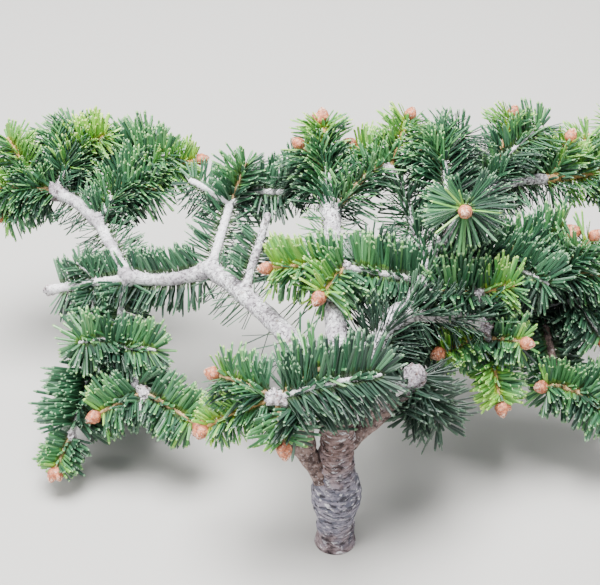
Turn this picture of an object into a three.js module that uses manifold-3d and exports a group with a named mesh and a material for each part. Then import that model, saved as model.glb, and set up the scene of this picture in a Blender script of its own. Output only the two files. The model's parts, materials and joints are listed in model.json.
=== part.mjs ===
// Spreading fir shrub, rooted in level ground
// Millimetres, +Z up, +X to the right of someone facing the plant, +Y away from them.
// The origin is the centre of the flat cut under the trunk, at ground level.

import * as THREE from 'three';
import { mergeVertices } from 'three/addons/utils/BufferGeometryUtils.js';
import Module from 'manifold-3d';

const wasm = await Module();
wasm.setup();

// Trunk: a short leaning stem with a slight flare at the ground and a swelling above it
const trunkHeight = 88;
const trunkHeading = 89;
const trunkRise = 85;
const trunkRadius = 7.9;
const trunkFlare = { extra: 2.2, height: 4 };
const trunkSwelling = { extra: 3.8, middle: 28, spread: 10 };
const trunkRidge = { depth: 0.45, pitch: 7.5 };
const trunkSides = 12;
const trunkRingPitch = 5.5;
const trunkCrown = { narrowing: 0.4, shoulder: 0.35, nose: 0.5 };

// Boughs and bare twigs
const limbSides = 8;
const limbSectionLength = 24;
const tipDome = 0.6;
const uprightFrom = 0.9;

// Twigs inside a mass of foliage
const coreSides = 4;
const shootRoot = 1.35;
const shootTip = 0.95;
const sideTwigFromLength = 31;
const sideTwigAngle = 48;
const sideTwigShare = 0.5;
const sideTwigPlace = { from: 0.4, spread: 0.15 };
const sideTwigSpread = 0.15;
const shootBow = 0.03;

// Needles: whorls of tapering blades that lean towards the tip of their twig
const needleLength = 16.5;
const needleSpread = 0.16;
const needleLean = 22;
const needleLift = 0.22;
const whorlPitch = 4.8;
const whorlTwist = 27;
const needleRootRadius = 1.5;
const needleTipRadius = 0.25;

// Buds at the tips of the shoots
const budLength = 8.2;
const budRadius = 3.0;
const budSides = 5;
const budSplay = 42;
const budSink = 0.3;
const budClusterWidth = 2;
const budShape = [{ share: 0.08, width: 0.6 }, { share: 0.42, width: 1 }, { share: 0.8, width: 0.6 }];

// Space left between neighbouring solids, and above the ground
const clearance = 0.35;
const rodsPerTwig = 3;
const rodsPerTrunk = 4;
const trunkRodExtra = 2;
const sameMassGap = 0.15;
const groundClearance = 0.6;

// Seeds of the repeatable numbers, one for each mass of foliage
const firstSeed = 1009;
const seedStep = 613;
const seedFactor = 16807;
const seedLimit = 2147483647;

// Points of a mesh that lie nearer than this are one point
const weldDistance = 0.001;

// Bark and foliage colours
const barkGrey = new THREE.MeshStandardMaterial({ color: 0x9d958c, roughness: 0.86, metalness: 0 });
const barkPale = new THREE.MeshStandardMaterial({ color: 0xb9b1a6, roughness: 0.84, metalness: 0 });
const needleBlue = new THREE.MeshStandardMaterial({ color: 0x35573f, roughness: 0.5, metalness: 0 });
const needleFresh = new THREE.MeshStandardMaterial({ color: 0x5f8f35, roughness: 0.5, metalness: 0 });

// A limb grows from a share of the way along the one that bears it. Heading is in degrees
// anticlockwise from +X in plan, rise in degrees above level, bow lifts the middle.
function limb(name, on, from, heading, rise, length, root, tip, bow) {
  return { name, on, from, heading, rise, length, root, tip, bow };
}

const limbs = [
  limb('bough_front_foot', 'trunk', 0.36, 176, 57, 28, 5.0, 4.4, -1),
  limb('bough_front', 'bough_front_foot', 1, -78, 79, 32, 4.1, 3.8, 0),
  limb('bough_left_inner', 'trunk', 0.97, 124, 2, 109, 5.2, 4.0, 5),
  limb('bough_left_outer', 'bough_left_inner', 1, 175, -9, 43, 3.5, 3.1, -4),
  limb('bough_left_turn', 'bough_left_outer', 1, 115, 8, 45, 3.0, 2.8, 0),
  limb('bough_left_far', 'bough_left_turn', 1, 141, 12, 31, 2.9, 3.4, 2),
  limb('stub_left', 'bough_left_inner', 0.72, 66, 45, 40, 2.2, 1.9, 0),
  limb('twig_left_low', 'bough_left_outer', 1, -112, -59, 26, 1.8, 1.7, 0),
  limb('twig_left_foot', 'twig_left_low', 1, -69, -27, 34, 1.7, 1.9, -4),
  limb('twig_left_drooping', 'twig_left_low', 1, -137, -42, 24, 1.5, 1.6, 3),
  limb('bough_middle', 'trunk', 0.99, 91, 17, 108, 5.2, 4.2, 3),
  limb('bough_right_inner', 'trunk', 0.86, 55, 25, 53, 4.8, 4.2, 4),
  limb('bough_right_middle', 'bough_right_inner', 1, 62, 9, 50, 3.9, 3.3, -3),
  limb('bough_right_outer', 'bough_right_middle', 1, 60, 9, 48, 3.1, 2.9, 2),
  limb('bough_right_far', 'bough_right_outer', 1, 21, 0, 36, 2.7, 2.4, 2),
  limb('bough_right_back', 'bough_right_middle', 0.8, 108, 25, 51, 2.0, 2.0, -3),
  limb('bough_right_rear', 'bough_right_outer', 0.4, 119, 53, 17, 1.9, 1.8, 0),
  limb('bough_right_mid', 'bough_right_middle', 0.7, 26, 0, 39, 2.1, 1.9, 2),
  limb('bough_right_low', 'bough_right_inner', 1, 20, -19, 49, 3.0, 3.6, 3),
  limb('bough_right_lower', 'bough_right_low', 1, 43, -17, 46, 2.3, 2.1, 3),
  limb('bough_right_foot', 'bough_right_lower', 1, -79, -35, 39, 1.9, 2.0, 3),
  limb('stub_front', 'trunk', 0.62, 24, 38, 49, 3.6, 5.2, -4),
];

// A mass of foliage has one stem and its main shoots. A shoot leaves the stem a share of the
// way along it, turned and lifted from the stem's own heading and rise, and may end in buds.
// A long shoot forks, unless it is told to grow on plain. A mass's habit gives how long its
// needles are beside the usual length, and their colour.
function mass(name, on, from, heading, rise, length, root, tip, shoots, habit = {}) {
  return {
    name, on, from, heading, rise, length, root, tip, shoots, needle: 1, tone: needleBlue, ...habit,
  };
}

function shoot(from, turn, lift, length, buds, forks = length >= sideTwigFromLength) {
  return { from, turn, lift, length, buds, forks };
}

const masses = [
  mass('foliage_left_tip', 'bough_left_far', 1, -179, 13, 10, 2.0, 1.6,
    [shoot(1, 3, -13, 32, 1), shoot(1, -41, 36, 30, 0), shoot(0.6, 14, -40, 27, 1)]),
  mass('foliage_left_crest', 'bough_left_far', 1, 59, 50, 12, 1.8, 1.5,
    [shoot(1, 59, -12, 22, 0), shoot(1, 21, -14, 27, 0), shoot(1, -7, -23, 31, 0),
      shoot(0.7, -23, -33, 28, 0)], { tone: needleFresh }),
  mass('foliage_left_fan', 'bough_left_turn', 1, 61, 29, 24, 1.8, 1.5,
    [shoot(1, 20, -3, 31, 0), shoot(1, -14, -10, 33, 0), shoot(1, -40, -22, 43, 1, false),
      shoot(0.6, -47, -23, 26, 0)]),
  mass('foliage_left_side', 'bough_left_outer', 0.93, 178, -12, 44, 2.1, 2.7,
    [shoot(0.4, -30, 40, 15, 0), shoot(0.45, 82, -39, 18, 0)], { needle: 0.8 }),
  mass('foliage_left_low', 'twig_left_low', 1, -112, -18, 14, 1.5, 1.3,
    [shoot(1, 104, 22, 25, 0), shoot(0.6, -32, 37, 18, 0)]),
  mass('foliage_left_foot', 'twig_left_foot', 1, -40, -17, 5, 1.6, 1.5,
    [shoot(1, -114, 5, 24, 1), shoot(1, 6, 8, 32, 2, false), shoot(1, -56, -10, 12, 0)],
    { tone: needleFresh, needle: 0.95 }),
  mass('foliage_left_droop', 'twig_left_drooping', 1, -105, -32, 37, 1.5, 1.4,
    [shoot(1, -11, 2, 18, 2)]),
  mass('foliage_left_rising', 'bough_left_inner', 1, 75, 27, 38, 2.6, 2.2,
    [shoot(1, 67, -19, 27, 0), shoot(1, -25, 28, 22, 0), shoot(1, -59, -10, 34, 0)],
    { needle: 0.8 }),
  mass('foliage_leader', 'bough_middle', 1, 97, 39, 22, 2.4, 1.8,
    [shoot(1, 0, 13, 20, 2), shoot(0.8, 48, -9, 17, 1), shoot(0.5, 39, -50, 28, 0)]),
  mass('foliage_middle_right', 'bough_middle', 0.93, 43, 29, 20, 1.8, 1.5,
    [shoot(1, -8, -4, 16, 0)]),
  mass('foliage_back_left', 'bough_right_back', 1, 142, 40, 7, 1.7, 1.5,
    [shoot(1, 6, -21, 21, 1), shoot(1, -79, -1, 28, 1)]),
  mass('foliage_back', 'bough_right_rear', 1, 97, 44, 17, 1.5, 1.3,
    [shoot(1, 6, -9, 15, 0), shoot(1, -51, -23, 17, 0), shoot(0.7, 49, -26, 15, 0)]),
  mass('foliage_rosette', 'bough_right_outer', 0.75, -102, 31, 44, 1.6, 1.5,
    [shoot(1, 4, -7, 17, 1)], { needle: 1.1 }),
  mass('foliage_right_crest', 'bough_right_outer', 1, 56, 30, 18, 1.9, 1.6,
    [shoot(1, 10, 8, 27, 1), shoot(1, -22, -7, 31, 0, false)]),
  mass('foliage_right_far', 'bough_right_far', 1, 16, -2, 31, 2.3, 1.9,
    [shoot(1, 1, 5, 37, 1), shoot(1, 29, 22, 42, 1), shoot(1, -55, -14, 38, 1),
      shoot(0.15, 37, 51, 20, 1), shoot(0.5, 46, 30, 26, 0)]),
  mass('foliage_right_mid', 'bough_right_mid', 1, 16, 10, 17, 1.6, 1.4,
    [shoot(1, -10, 5, 19, 3), shoot(0.6, -31, -20, 18, 0)]),
  mass('foliage_right_edge', 'bough_right_mid', 0.62, 0, -13, 43, 1.5, 1.4,
    [shoot(1, 26, 52, 24, 1), shoot(1, -4, 14, 28, 1), shoot(0.5, -40, 10, 20, 0)]),
  mass('foliage_long_spray', 'bough_right_middle', 0.6, -164, 22, 42, 2.0, 1.6,
    [shoot(1, -14, -21, 34, 1, false), shoot(1, 41, -31, 20, 1), shoot(0.45, -58, -6, 15, 0)],
    { needle: 1.15 }),
  mass('foliage_hanging', 'bough_right_low', 1, 10, -75, 10, 1.7, 1.9,
    [shoot(0.8, -157, 80, 27, 1), shoot(1, -87, 34, 31, 2, false), shoot(0.9, -46, 93, 19, 1)],
    { needle: 0.85 }),
  mass('foliage_hanging_top', 'bough_right_low', 0.9, 81, 39, 14, 1.7, 1.5,
    [shoot(1, 20, -24, 15, 0), shoot(1, -88, -19, 17, 0), shoot(1, 118, -21, 22, 0),
      shoot(1, 79, -9, 19, 0)], { needle: 1.1 }),
  mass('foliage_under', 'bough_right_inner', 1, 41, -48, 29, 1.4, 1.2,
    [shoot(1, 123, -32, 14, 0)]),
  mass('foliage_right_shade', 'bough_right_lower', 1, -19, 31, 19, 1.7, 1.4,
    [shoot(1, 11, -23, 19, 0), shoot(1, -31, -63, 23, 1)]),
  mass('foliage_right_foot', 'bough_right_foot', 1, -35, 0, 11, 1.8, 1.5,
    [shoot(1, -9, -11, 21, 1), shoot(1, 39, 10, 22, 1), shoot(0.3, -116, 22, 12, 1)],
    { tone: needleFresh, needle: 0.9 }),
  mass('foliage_front', 'bough_front', 1, 178, 14, 13.5, 2.7, 2.3,
    [shoot(1, -2, -45, 37, 2, false), shoot(1, -25, -10, 29, 1), shoot(1, 105, -62, 20, 1),
      shoot(1, -161, 16, 24, 0), shoot(1, -178, 2, 47, 0, false)],
    { tone: needleFresh, needle: 1.2 }),
  mass('foliage_knob', 'stub_front', 1, 20, -64, 17, 1.8, 1.4,
    [shoot(1, -23, -4, 17, 0), shoot(0.6, -171, 1, 16, 0)]),
  mass('foliage_behind', 'bough_right_outer', 1, 66, -21, 49, 1.7, 1.5,
    [shoot(1, 24, 26, 26, 0), shoot(1, -24, 22, 28, 0)]),
];

const up = new THREE.Vector3(0, 0, 1);
const away = new THREE.Vector3(0, 1, 0);

// Repeatable numbers from 0 to 1
function seeded(seed) {
  let state = seed;
  return () => {
    state = (state * seedFactor) % seedLimit;
    return state / seedLimit;
  };
}

function direction(heading, rise) {
  const flat = Math.cos(THREE.MathUtils.degToRad(rise));
  const turn = THREE.MathUtils.degToRad(heading);
  return new THREE.Vector3(flat * Math.cos(turn), flat * Math.sin(turn),
    Math.sin(THREE.MathUtils.degToRad(rise)));
}

// A path that starts at a point, keeps its length's direction and bows in the middle
function growPath(start, heading, rise, length, bow) {
  const end = start.clone().addScaledVector(direction(heading, rise), length);
  const middle = start.clone().lerp(end, 0.5).addScaledVector(up, 2 * bow);
  return new THREE.QuadraticBezierCurve3(start, middle, end);
}

// Two directions square to a path at one place: across it, and its upper side
function squareTo(path, share) {
  const along = path.getTangent(share);
  const startsUpright = Math.abs(path.getTangent(0).z) > uprightFrom;
  const across = (startsUpright ? away : up).clone().cross(along).normalize();
  const upper = along.clone().cross(across);
  return { along, across, upper };
}

function ringPoint(path, share, radius, angle) {
  const { across, upper } = squareTo(path, share);
  return path.getPoint(share)
    .addScaledVector(across, radius * Math.cos(angle))
    .addScaledVector(upper, radius * Math.sin(angle));
}

function ring(path, share, radius, sides, twist = 0) {
  const points = [];
  for (let side = 0; side < sides; side += 1) {
    points.push(ringPoint(path, share, radius, twist + (side * 2 * Math.PI) / sides));
  }
  return points;
}

// A closed surface of triangles, from rings of points and a point at each end. A face
// between two rings may be drawn out to a peak, which is how a needle stands on its twig.
function closedSkin(rings, rootPoint, tipPoint, peakOn = () => null) {
  const points = [...rings.flat(), rootPoint, tipPoint];
  const sides = rings[0].length;
  const rootIndex = points.length - 2;
  const tipIndex = points.length - 1;
  const faces = [];
  for (let step = 0; step + 1 < rings.length; step += 1) {
    for (let side = 0; side < sides; side += 1) {
      const next = (side + 1) % sides;
      const corners = [step * sides + side, step * sides + next,
        (step + 1) * sides + next, (step + 1) * sides + side];
      const peak = peakOn(step, side, corners.map((corner) => points[corner]));
      if (peak) {
        points.push(peak);
        corners.forEach((corner, turn) => {
          faces.push([corner, corners[(turn + 1) % 4], points.length - 1]);
        });
      } else {
        faces.push([corners[0], corners[1], corners[2]], [corners[0], corners[2], corners[3]]);
      }
    }
  }
  const last = (rings.length - 1) * sides;
  for (let side = 0; side < sides; side += 1) {
    const next = (side + 1) % sides;
    faces.push([rootIndex, next, side], [tipIndex, last + side, last + next]);
  }
  return solidFrom(points, faces);
}

function solidFrom(points, faces) {
  return new wasm.Manifold(new wasm.Mesh({
    numProp: 3,
    vertProperties: new Float32Array(points.flatMap((point) => point.toArray())),
    triVerts: new Uint32Array(faces.flat()),
  }));
}

function sectionsAlong(path) {
  return Math.max(2, Math.round(path.getLength() / limbSectionLength));
}

// One tapering limb with a domed tip, made fatter by the space it keeps when it cuts another
function limbSolid(path, root, tip, swell = 0) {
  const rings = [];
  const sections = sectionsAlong(path);
  for (let step = 0; step <= sections; step += 1) {
    const share = step / sections;
    rings.push(ring(path, share, THREE.MathUtils.lerp(root, tip, share) + swell, limbSides));
  }
  const forward = path.getTangent(1);
  const shoulder = rings[sections].map((point) => point.clone()
    .lerp(path.getPoint(1), 1 - Math.SQRT1_2)
    .addScaledVector(forward, (tip + swell) * tipDome * Math.SQRT1_2));
  rings.push(shoulder);
  const nose = path.getPoint(1).addScaledVector(forward, (tip + swell) * tipDome);
  const heel = path.getPoint(0).addScaledVector(path.getTangent(0), -swell);
  return closedSkin(rings, heel, nose);
}

function trunkRadiusAt(height) {
  const flare = trunkFlare.extra * Math.exp(-height / trunkFlare.height);
  const offset = (height - trunkSwelling.middle) / trunkSwelling.spread;
  const swelling = trunkSwelling.extra * Math.exp(-offset * offset);
  const ridge = trunkRidge.depth * Math.cos((2 * Math.PI * height) / trunkRidge.pitch);
  return trunkRadius + flare + swelling + ridge;
}

// The trunk's rings lie level, so its lower end is the flat cut at the ground
function trunkSolid(path, swell = 0) {
  const rings = [];
  const top = path.getPoint(1).z;
  const steps = Math.round(top / trunkRingPitch);
  for (let step = 0; step <= steps; step += 1) {
    const share = step / steps;
    const centre = path.getPoint(share);
    const radius = trunkRadiusAt(centre.z) + swell;
    const halfTurned = (step % 2) / 2;
    rings.push(Array.from({ length: trunkSides }, (_, side) => {
      const angle = ((side + halfTurned) * 2 * Math.PI) / trunkSides;
      return new THREE.Vector3(radius * Math.cos(angle), radius * Math.sin(angle), 0).add(centre);
    }));
  }
  const crown = path.getPoint(1);
  const radius = trunkRadiusAt(crown.z) + swell;
  rings.push(rings[steps].map((point) => point.clone().lerp(crown, trunkCrown.narrowing)
    .addScaledVector(up, radius * trunkCrown.shoulder)));
  const nose = crown.clone().addScaledVector(up, radius * trunkCrown.nose);
  return closedSkin(rings, path.getPoint(0), nose);
}

// How near two thin tapering rods come, less their thickness
function gapBetween(one, other) {
  const alongOne = one.end.clone().sub(one.start);
  const alongOther = other.end.clone().sub(other.start);
  const apart = one.start.clone().sub(other.start);
  const a = alongOne.dot(alongOne);
  const e = alongOther.dot(alongOther);
  const b = alongOne.dot(alongOther);
  const c = alongOne.dot(apart);
  const f = alongOther.dot(apart);
  const spread = a * e - b * b;
  const clamp = THREE.MathUtils.clamp;
  let s = spread > Number.EPSILON ? clamp((b * f - c * e) / spread, 0, 1) : 0;
  const t = clamp((b * s + f) / e, 0, 1);
  s = clamp((b * t - c) / a, 0, 1);
  const nearOne = one.start.clone().addScaledVector(alongOne, s);
  const nearOther = other.start.clone().addScaledVector(alongOther, t);
  return nearOne.distanceTo(nearOther)
    - THREE.MathUtils.lerp(one.root, one.tip, s) - THREE.MathUtils.lerp(other.root, other.tip, t);
}

// Straight tapering rods that stand for a path when something must keep clear of it
function rodsAlong(path, root, tip, pieces) {
  return Array.from({ length: pieces }, (_, piece) => ({
    start: path.getPoint(piece / pieces),
    end: path.getPoint((piece + 1) / pieces),
    root: THREE.MathUtils.lerp(root, tip, piece / pieces),
    tip: THREE.MathUtils.lerp(root, tip, (piece + 1) / pieces),
  }));
}

// Grow the limbs, each from the one that bears it
const trunkPath = growPath(new THREE.Vector3(), trunkHeading, trunkRise, trunkHeight, 0);
const grown = new Map([['trunk', {
  path: trunkPath,
  rods: rodsAlong(trunkPath, trunkRadius + trunkRodExtra, trunkRadius, rodsPerTrunk),
  solid: trunkSolid(trunkPath),
  swollen: trunkSolid(trunkPath, clearance),
  material: barkGrey,
}]]);

function largestPiece(solid) {
  return solid.decompose().sort((one, other) => other.volume() - one.volume())[0];
}

function cutClear(solid, others) {
  let result = solid;
  for (const other of others) {
    if (result.intersect(other).volume() > 0) {
      result = result.subtract(other);
    }
  }
  return largestPiece(result);
}

for (const { name, on, from, heading, rise, length, root, tip, bow } of limbs) {
  const path = growPath(grown.get(on).path.getPoint(from), heading, rise, length, bow);
  const earlier = [...grown.values()].map((other) => other.swollen);
  grown.set(name, {
    path,
    rods: rodsAlong(path, root, tip, sectionsAlong(path)),
    solid: cutClear(limbSolid(path, root, tip), earlier),
    swollen: limbSolid(path, root, tip, clearance),
    material: barkPale,
  });
}

// Lay out every twig of a mass before any needle grows: its stem, its main shoots, and a
// side twig on each long shoot, on the side that the seed gives
function layOutTwigs(kind, index) {
  const chance = seeded(firstSeed + seedStep * index);
  const bearer = grown.get(kind.on);
  const stem = growPath(bearer.path.getPoint(kind.from), kind.heading, kind.rise, kind.length, 0);
  const twigs = [{ path: stem, root: kind.root, tip: kind.tip, length: kind.length, buds: 0 }];
  for (const { from, turn, lift, length, buds, forks } of kind.shoots) {
    const heading = kind.heading + turn;
    const rise = kind.rise + lift;
    const bow = length * shootBow;
    const path = growPath(stem.getPoint(from), heading, rise, length, bow);
    twigs.push({ path, root: shootRoot, tip: shootTip, length, buds });
    if (forks) {
      const side = chance() < 0.5 ? -1 : 1;
      const start = path.getPoint(sideTwigPlace.from + sideTwigPlace.spread * chance());
      const sideLength = length * sideTwigShare
        * (1 - sideTwigSpread + 2 * sideTwigSpread * chance());
      const sidePath = growPath(start, heading + side * sideTwigAngle, rise, sideLength, 0);
      twigs.push({ path: sidePath, root: shootTip, tip: shootTip, length: sideLength, buds: 0 });
    }
  }
  return { ...kind, chance, twigs };
}

const crown = masses.map(layOutTwigs);
const limbRods = [...grown.values()].flatMap((other) => other.rods);
const needleRods = new Map();

// A twig with needles on its faces, apart from those that would reach the ground or touch a
// limb, another twig or a needle of another twig
function needledTwig(twig, kindLength, chance, blocked, own) {
  const whorls = Math.max(2, Math.round(twig.length / whorlPitch));
  const twist = THREE.MathUtils.degToRad(whorlTwist);
  const firstTurn = chance() * 2 * Math.PI;
  const radiusAt = (share) => THREE.MathUtils.lerp(twig.root, twig.tip, share);
  const rings = [];
  for (let step = 0; step <= whorls; step += 1) {
    const share = step / whorls;
    rings.push(ring(twig.path, share, radiusAt(share), coreSides, firstTurn + step * twist));
  }
  const lean = THREE.MathUtils.degToRad(needleLean);
  const needleOn = (step, side, corners) => {
    const share = (step + 0.5) / whorls;
    const root = corners.reduce((sum, corner) => sum.add(corner), new THREE.Vector3())
      .divideScalar(corners.length);
    const { along } = squareTo(twig.path, share);
    const outward = root.clone().sub(twig.path.getPoint(share)).normalize();
    const reach = kindLength * (1 - needleSpread + 2 * needleSpread * chance());
    const aim = outward.multiplyScalar(Math.cos(lean))
      .addScaledVector(along, Math.sin(lean))
      .addScaledVector(up, needleLift)
      .normalize();
    const peak = root.clone().addScaledVector(aim, reach);
    const rod = {
      start: root,
      end: peak,
      root: needleRootRadius,
      tip: needleTipRadius,
    };
    if (step === 0 || step >= whorls || peak.z < groundClearance || blocked(rod)) {
      return null;
    }
    own.push(rod);
    return peak;
  };
  const tip = twig.path.getPoint(1);
  const forward = twig.path.getTangent(1);
  if (twig.buds > 0) {
    rings.push(...budRings(tip, forward, coreSides, firstTurn + whorls * twist));
  }
  const nose = tip.clone().addScaledVector(forward, twig.buds > 0 ? budLength : twig.tip);
  return closedSkin(rings, twig.path.getPoint(0), nose, needleOn);
}

// An egg-shaped bud: its rings stand in front of the place where it sits
function budRings(start, along, sides, twist) {
  const path = new THREE.LineCurve3(start, start.clone().addScaledVector(along, budLength));
  return budShape.map(({ share, width }) => ring(path, share, budRadius * width, sides, twist));
}

// The side buds of a cluster, whose lower ends are sunk in the tip of the shoot
function sideBuds(twig) {
  const { along, upper } = squareTo(twig.path, 1);
  const start = twig.path.getPoint(1).addScaledVector(along, -budRadius * budSink);
  const sides = [1, -1].slice(0, Math.max(0, twig.buds - 1));
  return sides.map((side) => {
    const aim = along.clone().applyAxisAngle(upper, side * THREE.MathUtils.degToRad(budSplay));
    const nose = start.clone().addScaledVector(aim, budLength);
    return closedSkin(budRings(start, aim, budSides, 0), start, nose);
  });
}

function near(rod, other) {
  const reach = needleLength * 2 + rod.root + other.root;
  return rod.start.distanceTo(other.start) < reach + other.start.distanceTo(other.end);
}

function touches(rod, others, space) {
  return others.some((other) => near(rod, other) && gapBetween(rod, other) < space);
}

function twigRods(twigs) {
  return twigs.flatMap(({ path, root, tip }) => rodsAlong(path, root, tip, rodsPerTwig));
}

function massSolid(kind) {
  const otherTwigs = crown.filter((other) => other.name !== kind.name)
    .flatMap((other) => twigRods(other.twigs));
  const otherBuds = crown.filter((other) => other.name !== kind.name)
    .flatMap((other) => other.twigs.filter((twig) => twig.buds > 0).map((twig) => ({
      start: twig.path.getPoint(1),
      end: twig.path.getPoint(1).addScaledVector(twig.path.getTangent(1), budLength),
      root: budRadius,
      tip: budRadius * (twig.buds > 1 ? budClusterWidth : 1),
    })));
  const otherNeedles = [...needleRods.values()].flat();
  const obstacles = [...limbRods, ...otherTwigs, ...otherBuds, ...otherNeedles];
  const accepted = [];
  let solid = null;
  for (const twig of kind.twigs) {
    const neighbours = twigRods(kind.twigs.filter((other) => other !== twig));
    const blocked = (rod) => touches(rod, obstacles, clearance)
      || touches(rod, neighbours, sameMassGap) || touches(rod, accepted, sameMassGap);
    const own = [];
    const grownTwig = needledTwig(twig, needleLength * kind.needle, kind.chance, blocked, own);
    accepted.push(...own);
    solid = solid ? solid.add(grownTwig) : grownTwig;
    for (const bud of sideBuds(twig)) {
      solid = solid.add(bud);
    }
  }
  needleRods.set(kind.name, accepted);
  return solid;
}

// Fatter copies of a mass's twigs, which cut the masses that grow after it clear
function swollenTwigs(kind) {
  return kind.twigs.map((twig) => limbSolid(twig.path, twig.root, twig.tip, clearance));
}

function meshFrom(name, solid, material) {
  const { vertProperties, triVerts } = solid.getMesh();
  const geometry = new THREE.BufferGeometry();
  geometry.setAttribute('position', new THREE.BufferAttribute(vertProperties, 3));
  geometry.setIndex(new THREE.BufferAttribute(triVerts, 1));
  const merged = mergeVertices(geometry, weldDistance);
  const mesh = new THREE.Mesh(merged, material);
  mesh.name = name;
  return mesh;
}

const group = new THREE.Group();
for (const [name, { solid, material }] of grown) {
  group.add(meshFrom(name, solid, material));
}
const limbCutters = [...grown.values()].map((other) => other.swollen);
const twigCutters = [];
for (const kind of crown) {
  const solid = cutClear(massSolid(kind), [...limbCutters, ...twigCutters]);
  twigCutters.push(...swollenTwigs(kind));
  group.add(meshFrom(kind.name, solid, kind.tone));
}

export default group;
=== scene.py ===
"""Dressing of a low, spreading fir shrub that is rooted in level ground.

The shrub grows here by the same rule as its solids: limbs grow one from another, each mass of
foliage has one stem, its shoots and their side twigs, and needles stand round every twig. Here
the rule goes on to the single needle, the bud's scales and the relief of the bark.
The growth values are in millimetres and degrees, meshes are in metres.
"""

from __future__ import annotations

import json
import logging
import math
from dataclasses import dataclass, field
from enum import Enum

import bpy
import numpy as np
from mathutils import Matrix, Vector, noise

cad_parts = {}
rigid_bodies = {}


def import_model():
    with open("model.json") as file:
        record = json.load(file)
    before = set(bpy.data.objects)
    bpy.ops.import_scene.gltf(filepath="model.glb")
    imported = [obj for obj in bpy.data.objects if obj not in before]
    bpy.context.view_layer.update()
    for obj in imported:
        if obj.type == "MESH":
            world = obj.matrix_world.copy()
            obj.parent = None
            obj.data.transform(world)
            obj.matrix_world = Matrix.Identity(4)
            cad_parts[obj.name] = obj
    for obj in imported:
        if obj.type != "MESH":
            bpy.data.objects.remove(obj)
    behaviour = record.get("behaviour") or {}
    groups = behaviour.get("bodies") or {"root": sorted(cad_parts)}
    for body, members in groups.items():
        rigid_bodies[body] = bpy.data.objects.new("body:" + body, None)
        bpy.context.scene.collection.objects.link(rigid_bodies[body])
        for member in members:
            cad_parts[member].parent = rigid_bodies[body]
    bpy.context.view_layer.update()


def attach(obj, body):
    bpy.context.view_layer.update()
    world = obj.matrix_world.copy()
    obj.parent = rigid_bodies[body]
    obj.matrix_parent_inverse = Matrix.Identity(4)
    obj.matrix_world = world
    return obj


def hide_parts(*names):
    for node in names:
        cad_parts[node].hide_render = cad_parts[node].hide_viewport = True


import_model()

LOG = logging.getLogger("fir")
METRE = 0.001
UP = np.array([0.0, 0.0, 1.0])
AWAY = np.array([0.0, 1.0, 0.0])
LIT_SIDE = np.array([0.0, -0.68, 0.73])
FRONT = np.array([0.35, -1.0, 0.0])
STEEP = 0.9
ALONG_LIGHT = 0.93
GOLDEN_ANGLE = math.radians(137.5)

SIDE_TWIG_FROM_LENGTH = 31.0
SIDE_TWIG_ANGLE = 48.0
SIDE_TWIG_SHARE = 0.5
SIDE_TWIG_LOWEST = 0.4
SIDE_TWIG_HIGHER_BY = 0.15
SIDE_TWIG_SHORTEST = 0.85
SIDE_TWIG_LONGER_BY = 0.3
SHOOT_ROOT = 1.35
SHOOT_TIP = 0.95
SHOOT_BOW = 0.03
BUD_LENGTH = 8.4
BUD_RADIUS = 3.2
BUD_SPLAYS = (0.0, 42.0, -42.0)
BUD_SIZES = (1.0, 0.86, 0.8)
BUD_SEED = 77
NEEDLE_SEED = 500
DULL = {"Specular IOR Level": 0.3}

Colour = tuple[float, float, float, float]
Layers = tuple[tuple[float, float, float], ...]


class Age(Enum):
    """How old a twig's needles are, which sets their colour, length and bark; SHADED is painted
    shade.
    """

    # Painted shade: darker needle colours for sprays deep in the crown, where shade falls.
    SHADED = "shaded"
    OLD = "old"
    GREEN = "green"
    FRESH = "fresh"
    GOLD = "gold"


@dataclass(frozen=True)
class Limb:
    """One tapering limb, which leaves the limb that bears it a share of the way along."""

    name: str
    on: str
    start: float
    heading: float
    rise: float
    length: float
    root: float
    tip: float
    bow: float
    knob: float = 0.0


@dataclass(frozen=True)
class Shoot:
    """A shoot of a mass, turned and lifted from the stem that bears it."""

    start: float
    turn: float
    lift: float
    length: float
    buds: int
    age: Age = Age.OLD
    forks: bool = True
    needle: float = 1.0
    fullness: float = 1.0
    bare: float = 0.02
    parting: float = 0.0
    stout: float = 1.0
    pale: bool = False
    # The share of the shoot's needles given an older age's darker colours, as painted shade.
    shade: float = 0.0


@dataclass(frozen=True)
class Mass:
    """A mass of foliage: its stem, and the shoots that the stem bears."""

    name: str
    on: str
    start: float
    heading: float
    rise: float
    length: float
    root: float
    tip: float
    shoots: tuple[Shoot, ...]
    age: Age = Age.OLD
    parting: float = 0.0
    shoot_parting: float = 0.0
    needle: float = 1.0
    closing: float = 0.0
    stoutness: float = 1.0
    knob: float = 0.0
    bud: float = 1.0
    fullness: float = 1.0
    pale: bool = False


@dataclass(frozen=True)
class NeedleRow:
    """Needles that stand directly on a stretch of a bare limb, as two combs.

    One comb stands to the front of the limb and the other to its back, which leaves the
    bark between them in sight.
    """

    on: str
    begin: float
    end: float
    front: int
    back: int
    length: float
    age: Age = Age.OLD
    parted: bool = True


@dataclass(frozen=True)
class Region:
    """The masses and limbs whose needles make up one piece."""

    name: str
    masses: tuple[str, ...]
    limbs: tuple[str, ...]


@dataclass(frozen=True)
class NeedleLook:
    """How needles of one age look: their colours, their length and their parting."""

    shades: tuple[Colour, ...]
    foot: Colour
    underside: Colour
    tip: Colour
    length: float
    parting: float


def linear(value: int) -> float:
    """Undo the screen's curve for one channel of a colour, 0 to 255."""
    share = value / 255
    return share / 12.92 if share <= 0.04045 else ((share + 0.055) / 1.055) ** 2.4


def paint(red: int, green: int, blue: int) -> Colour:
    """Turn a colour as seen on a screen, 0 to 255, into the linear colour of a material."""
    return linear(red), linear(green), linear(blue), 1.0


TRUNK = Limb("trunk", "", 0.0, 89, 85, 88, 9.3, 8.0, 0)

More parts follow.
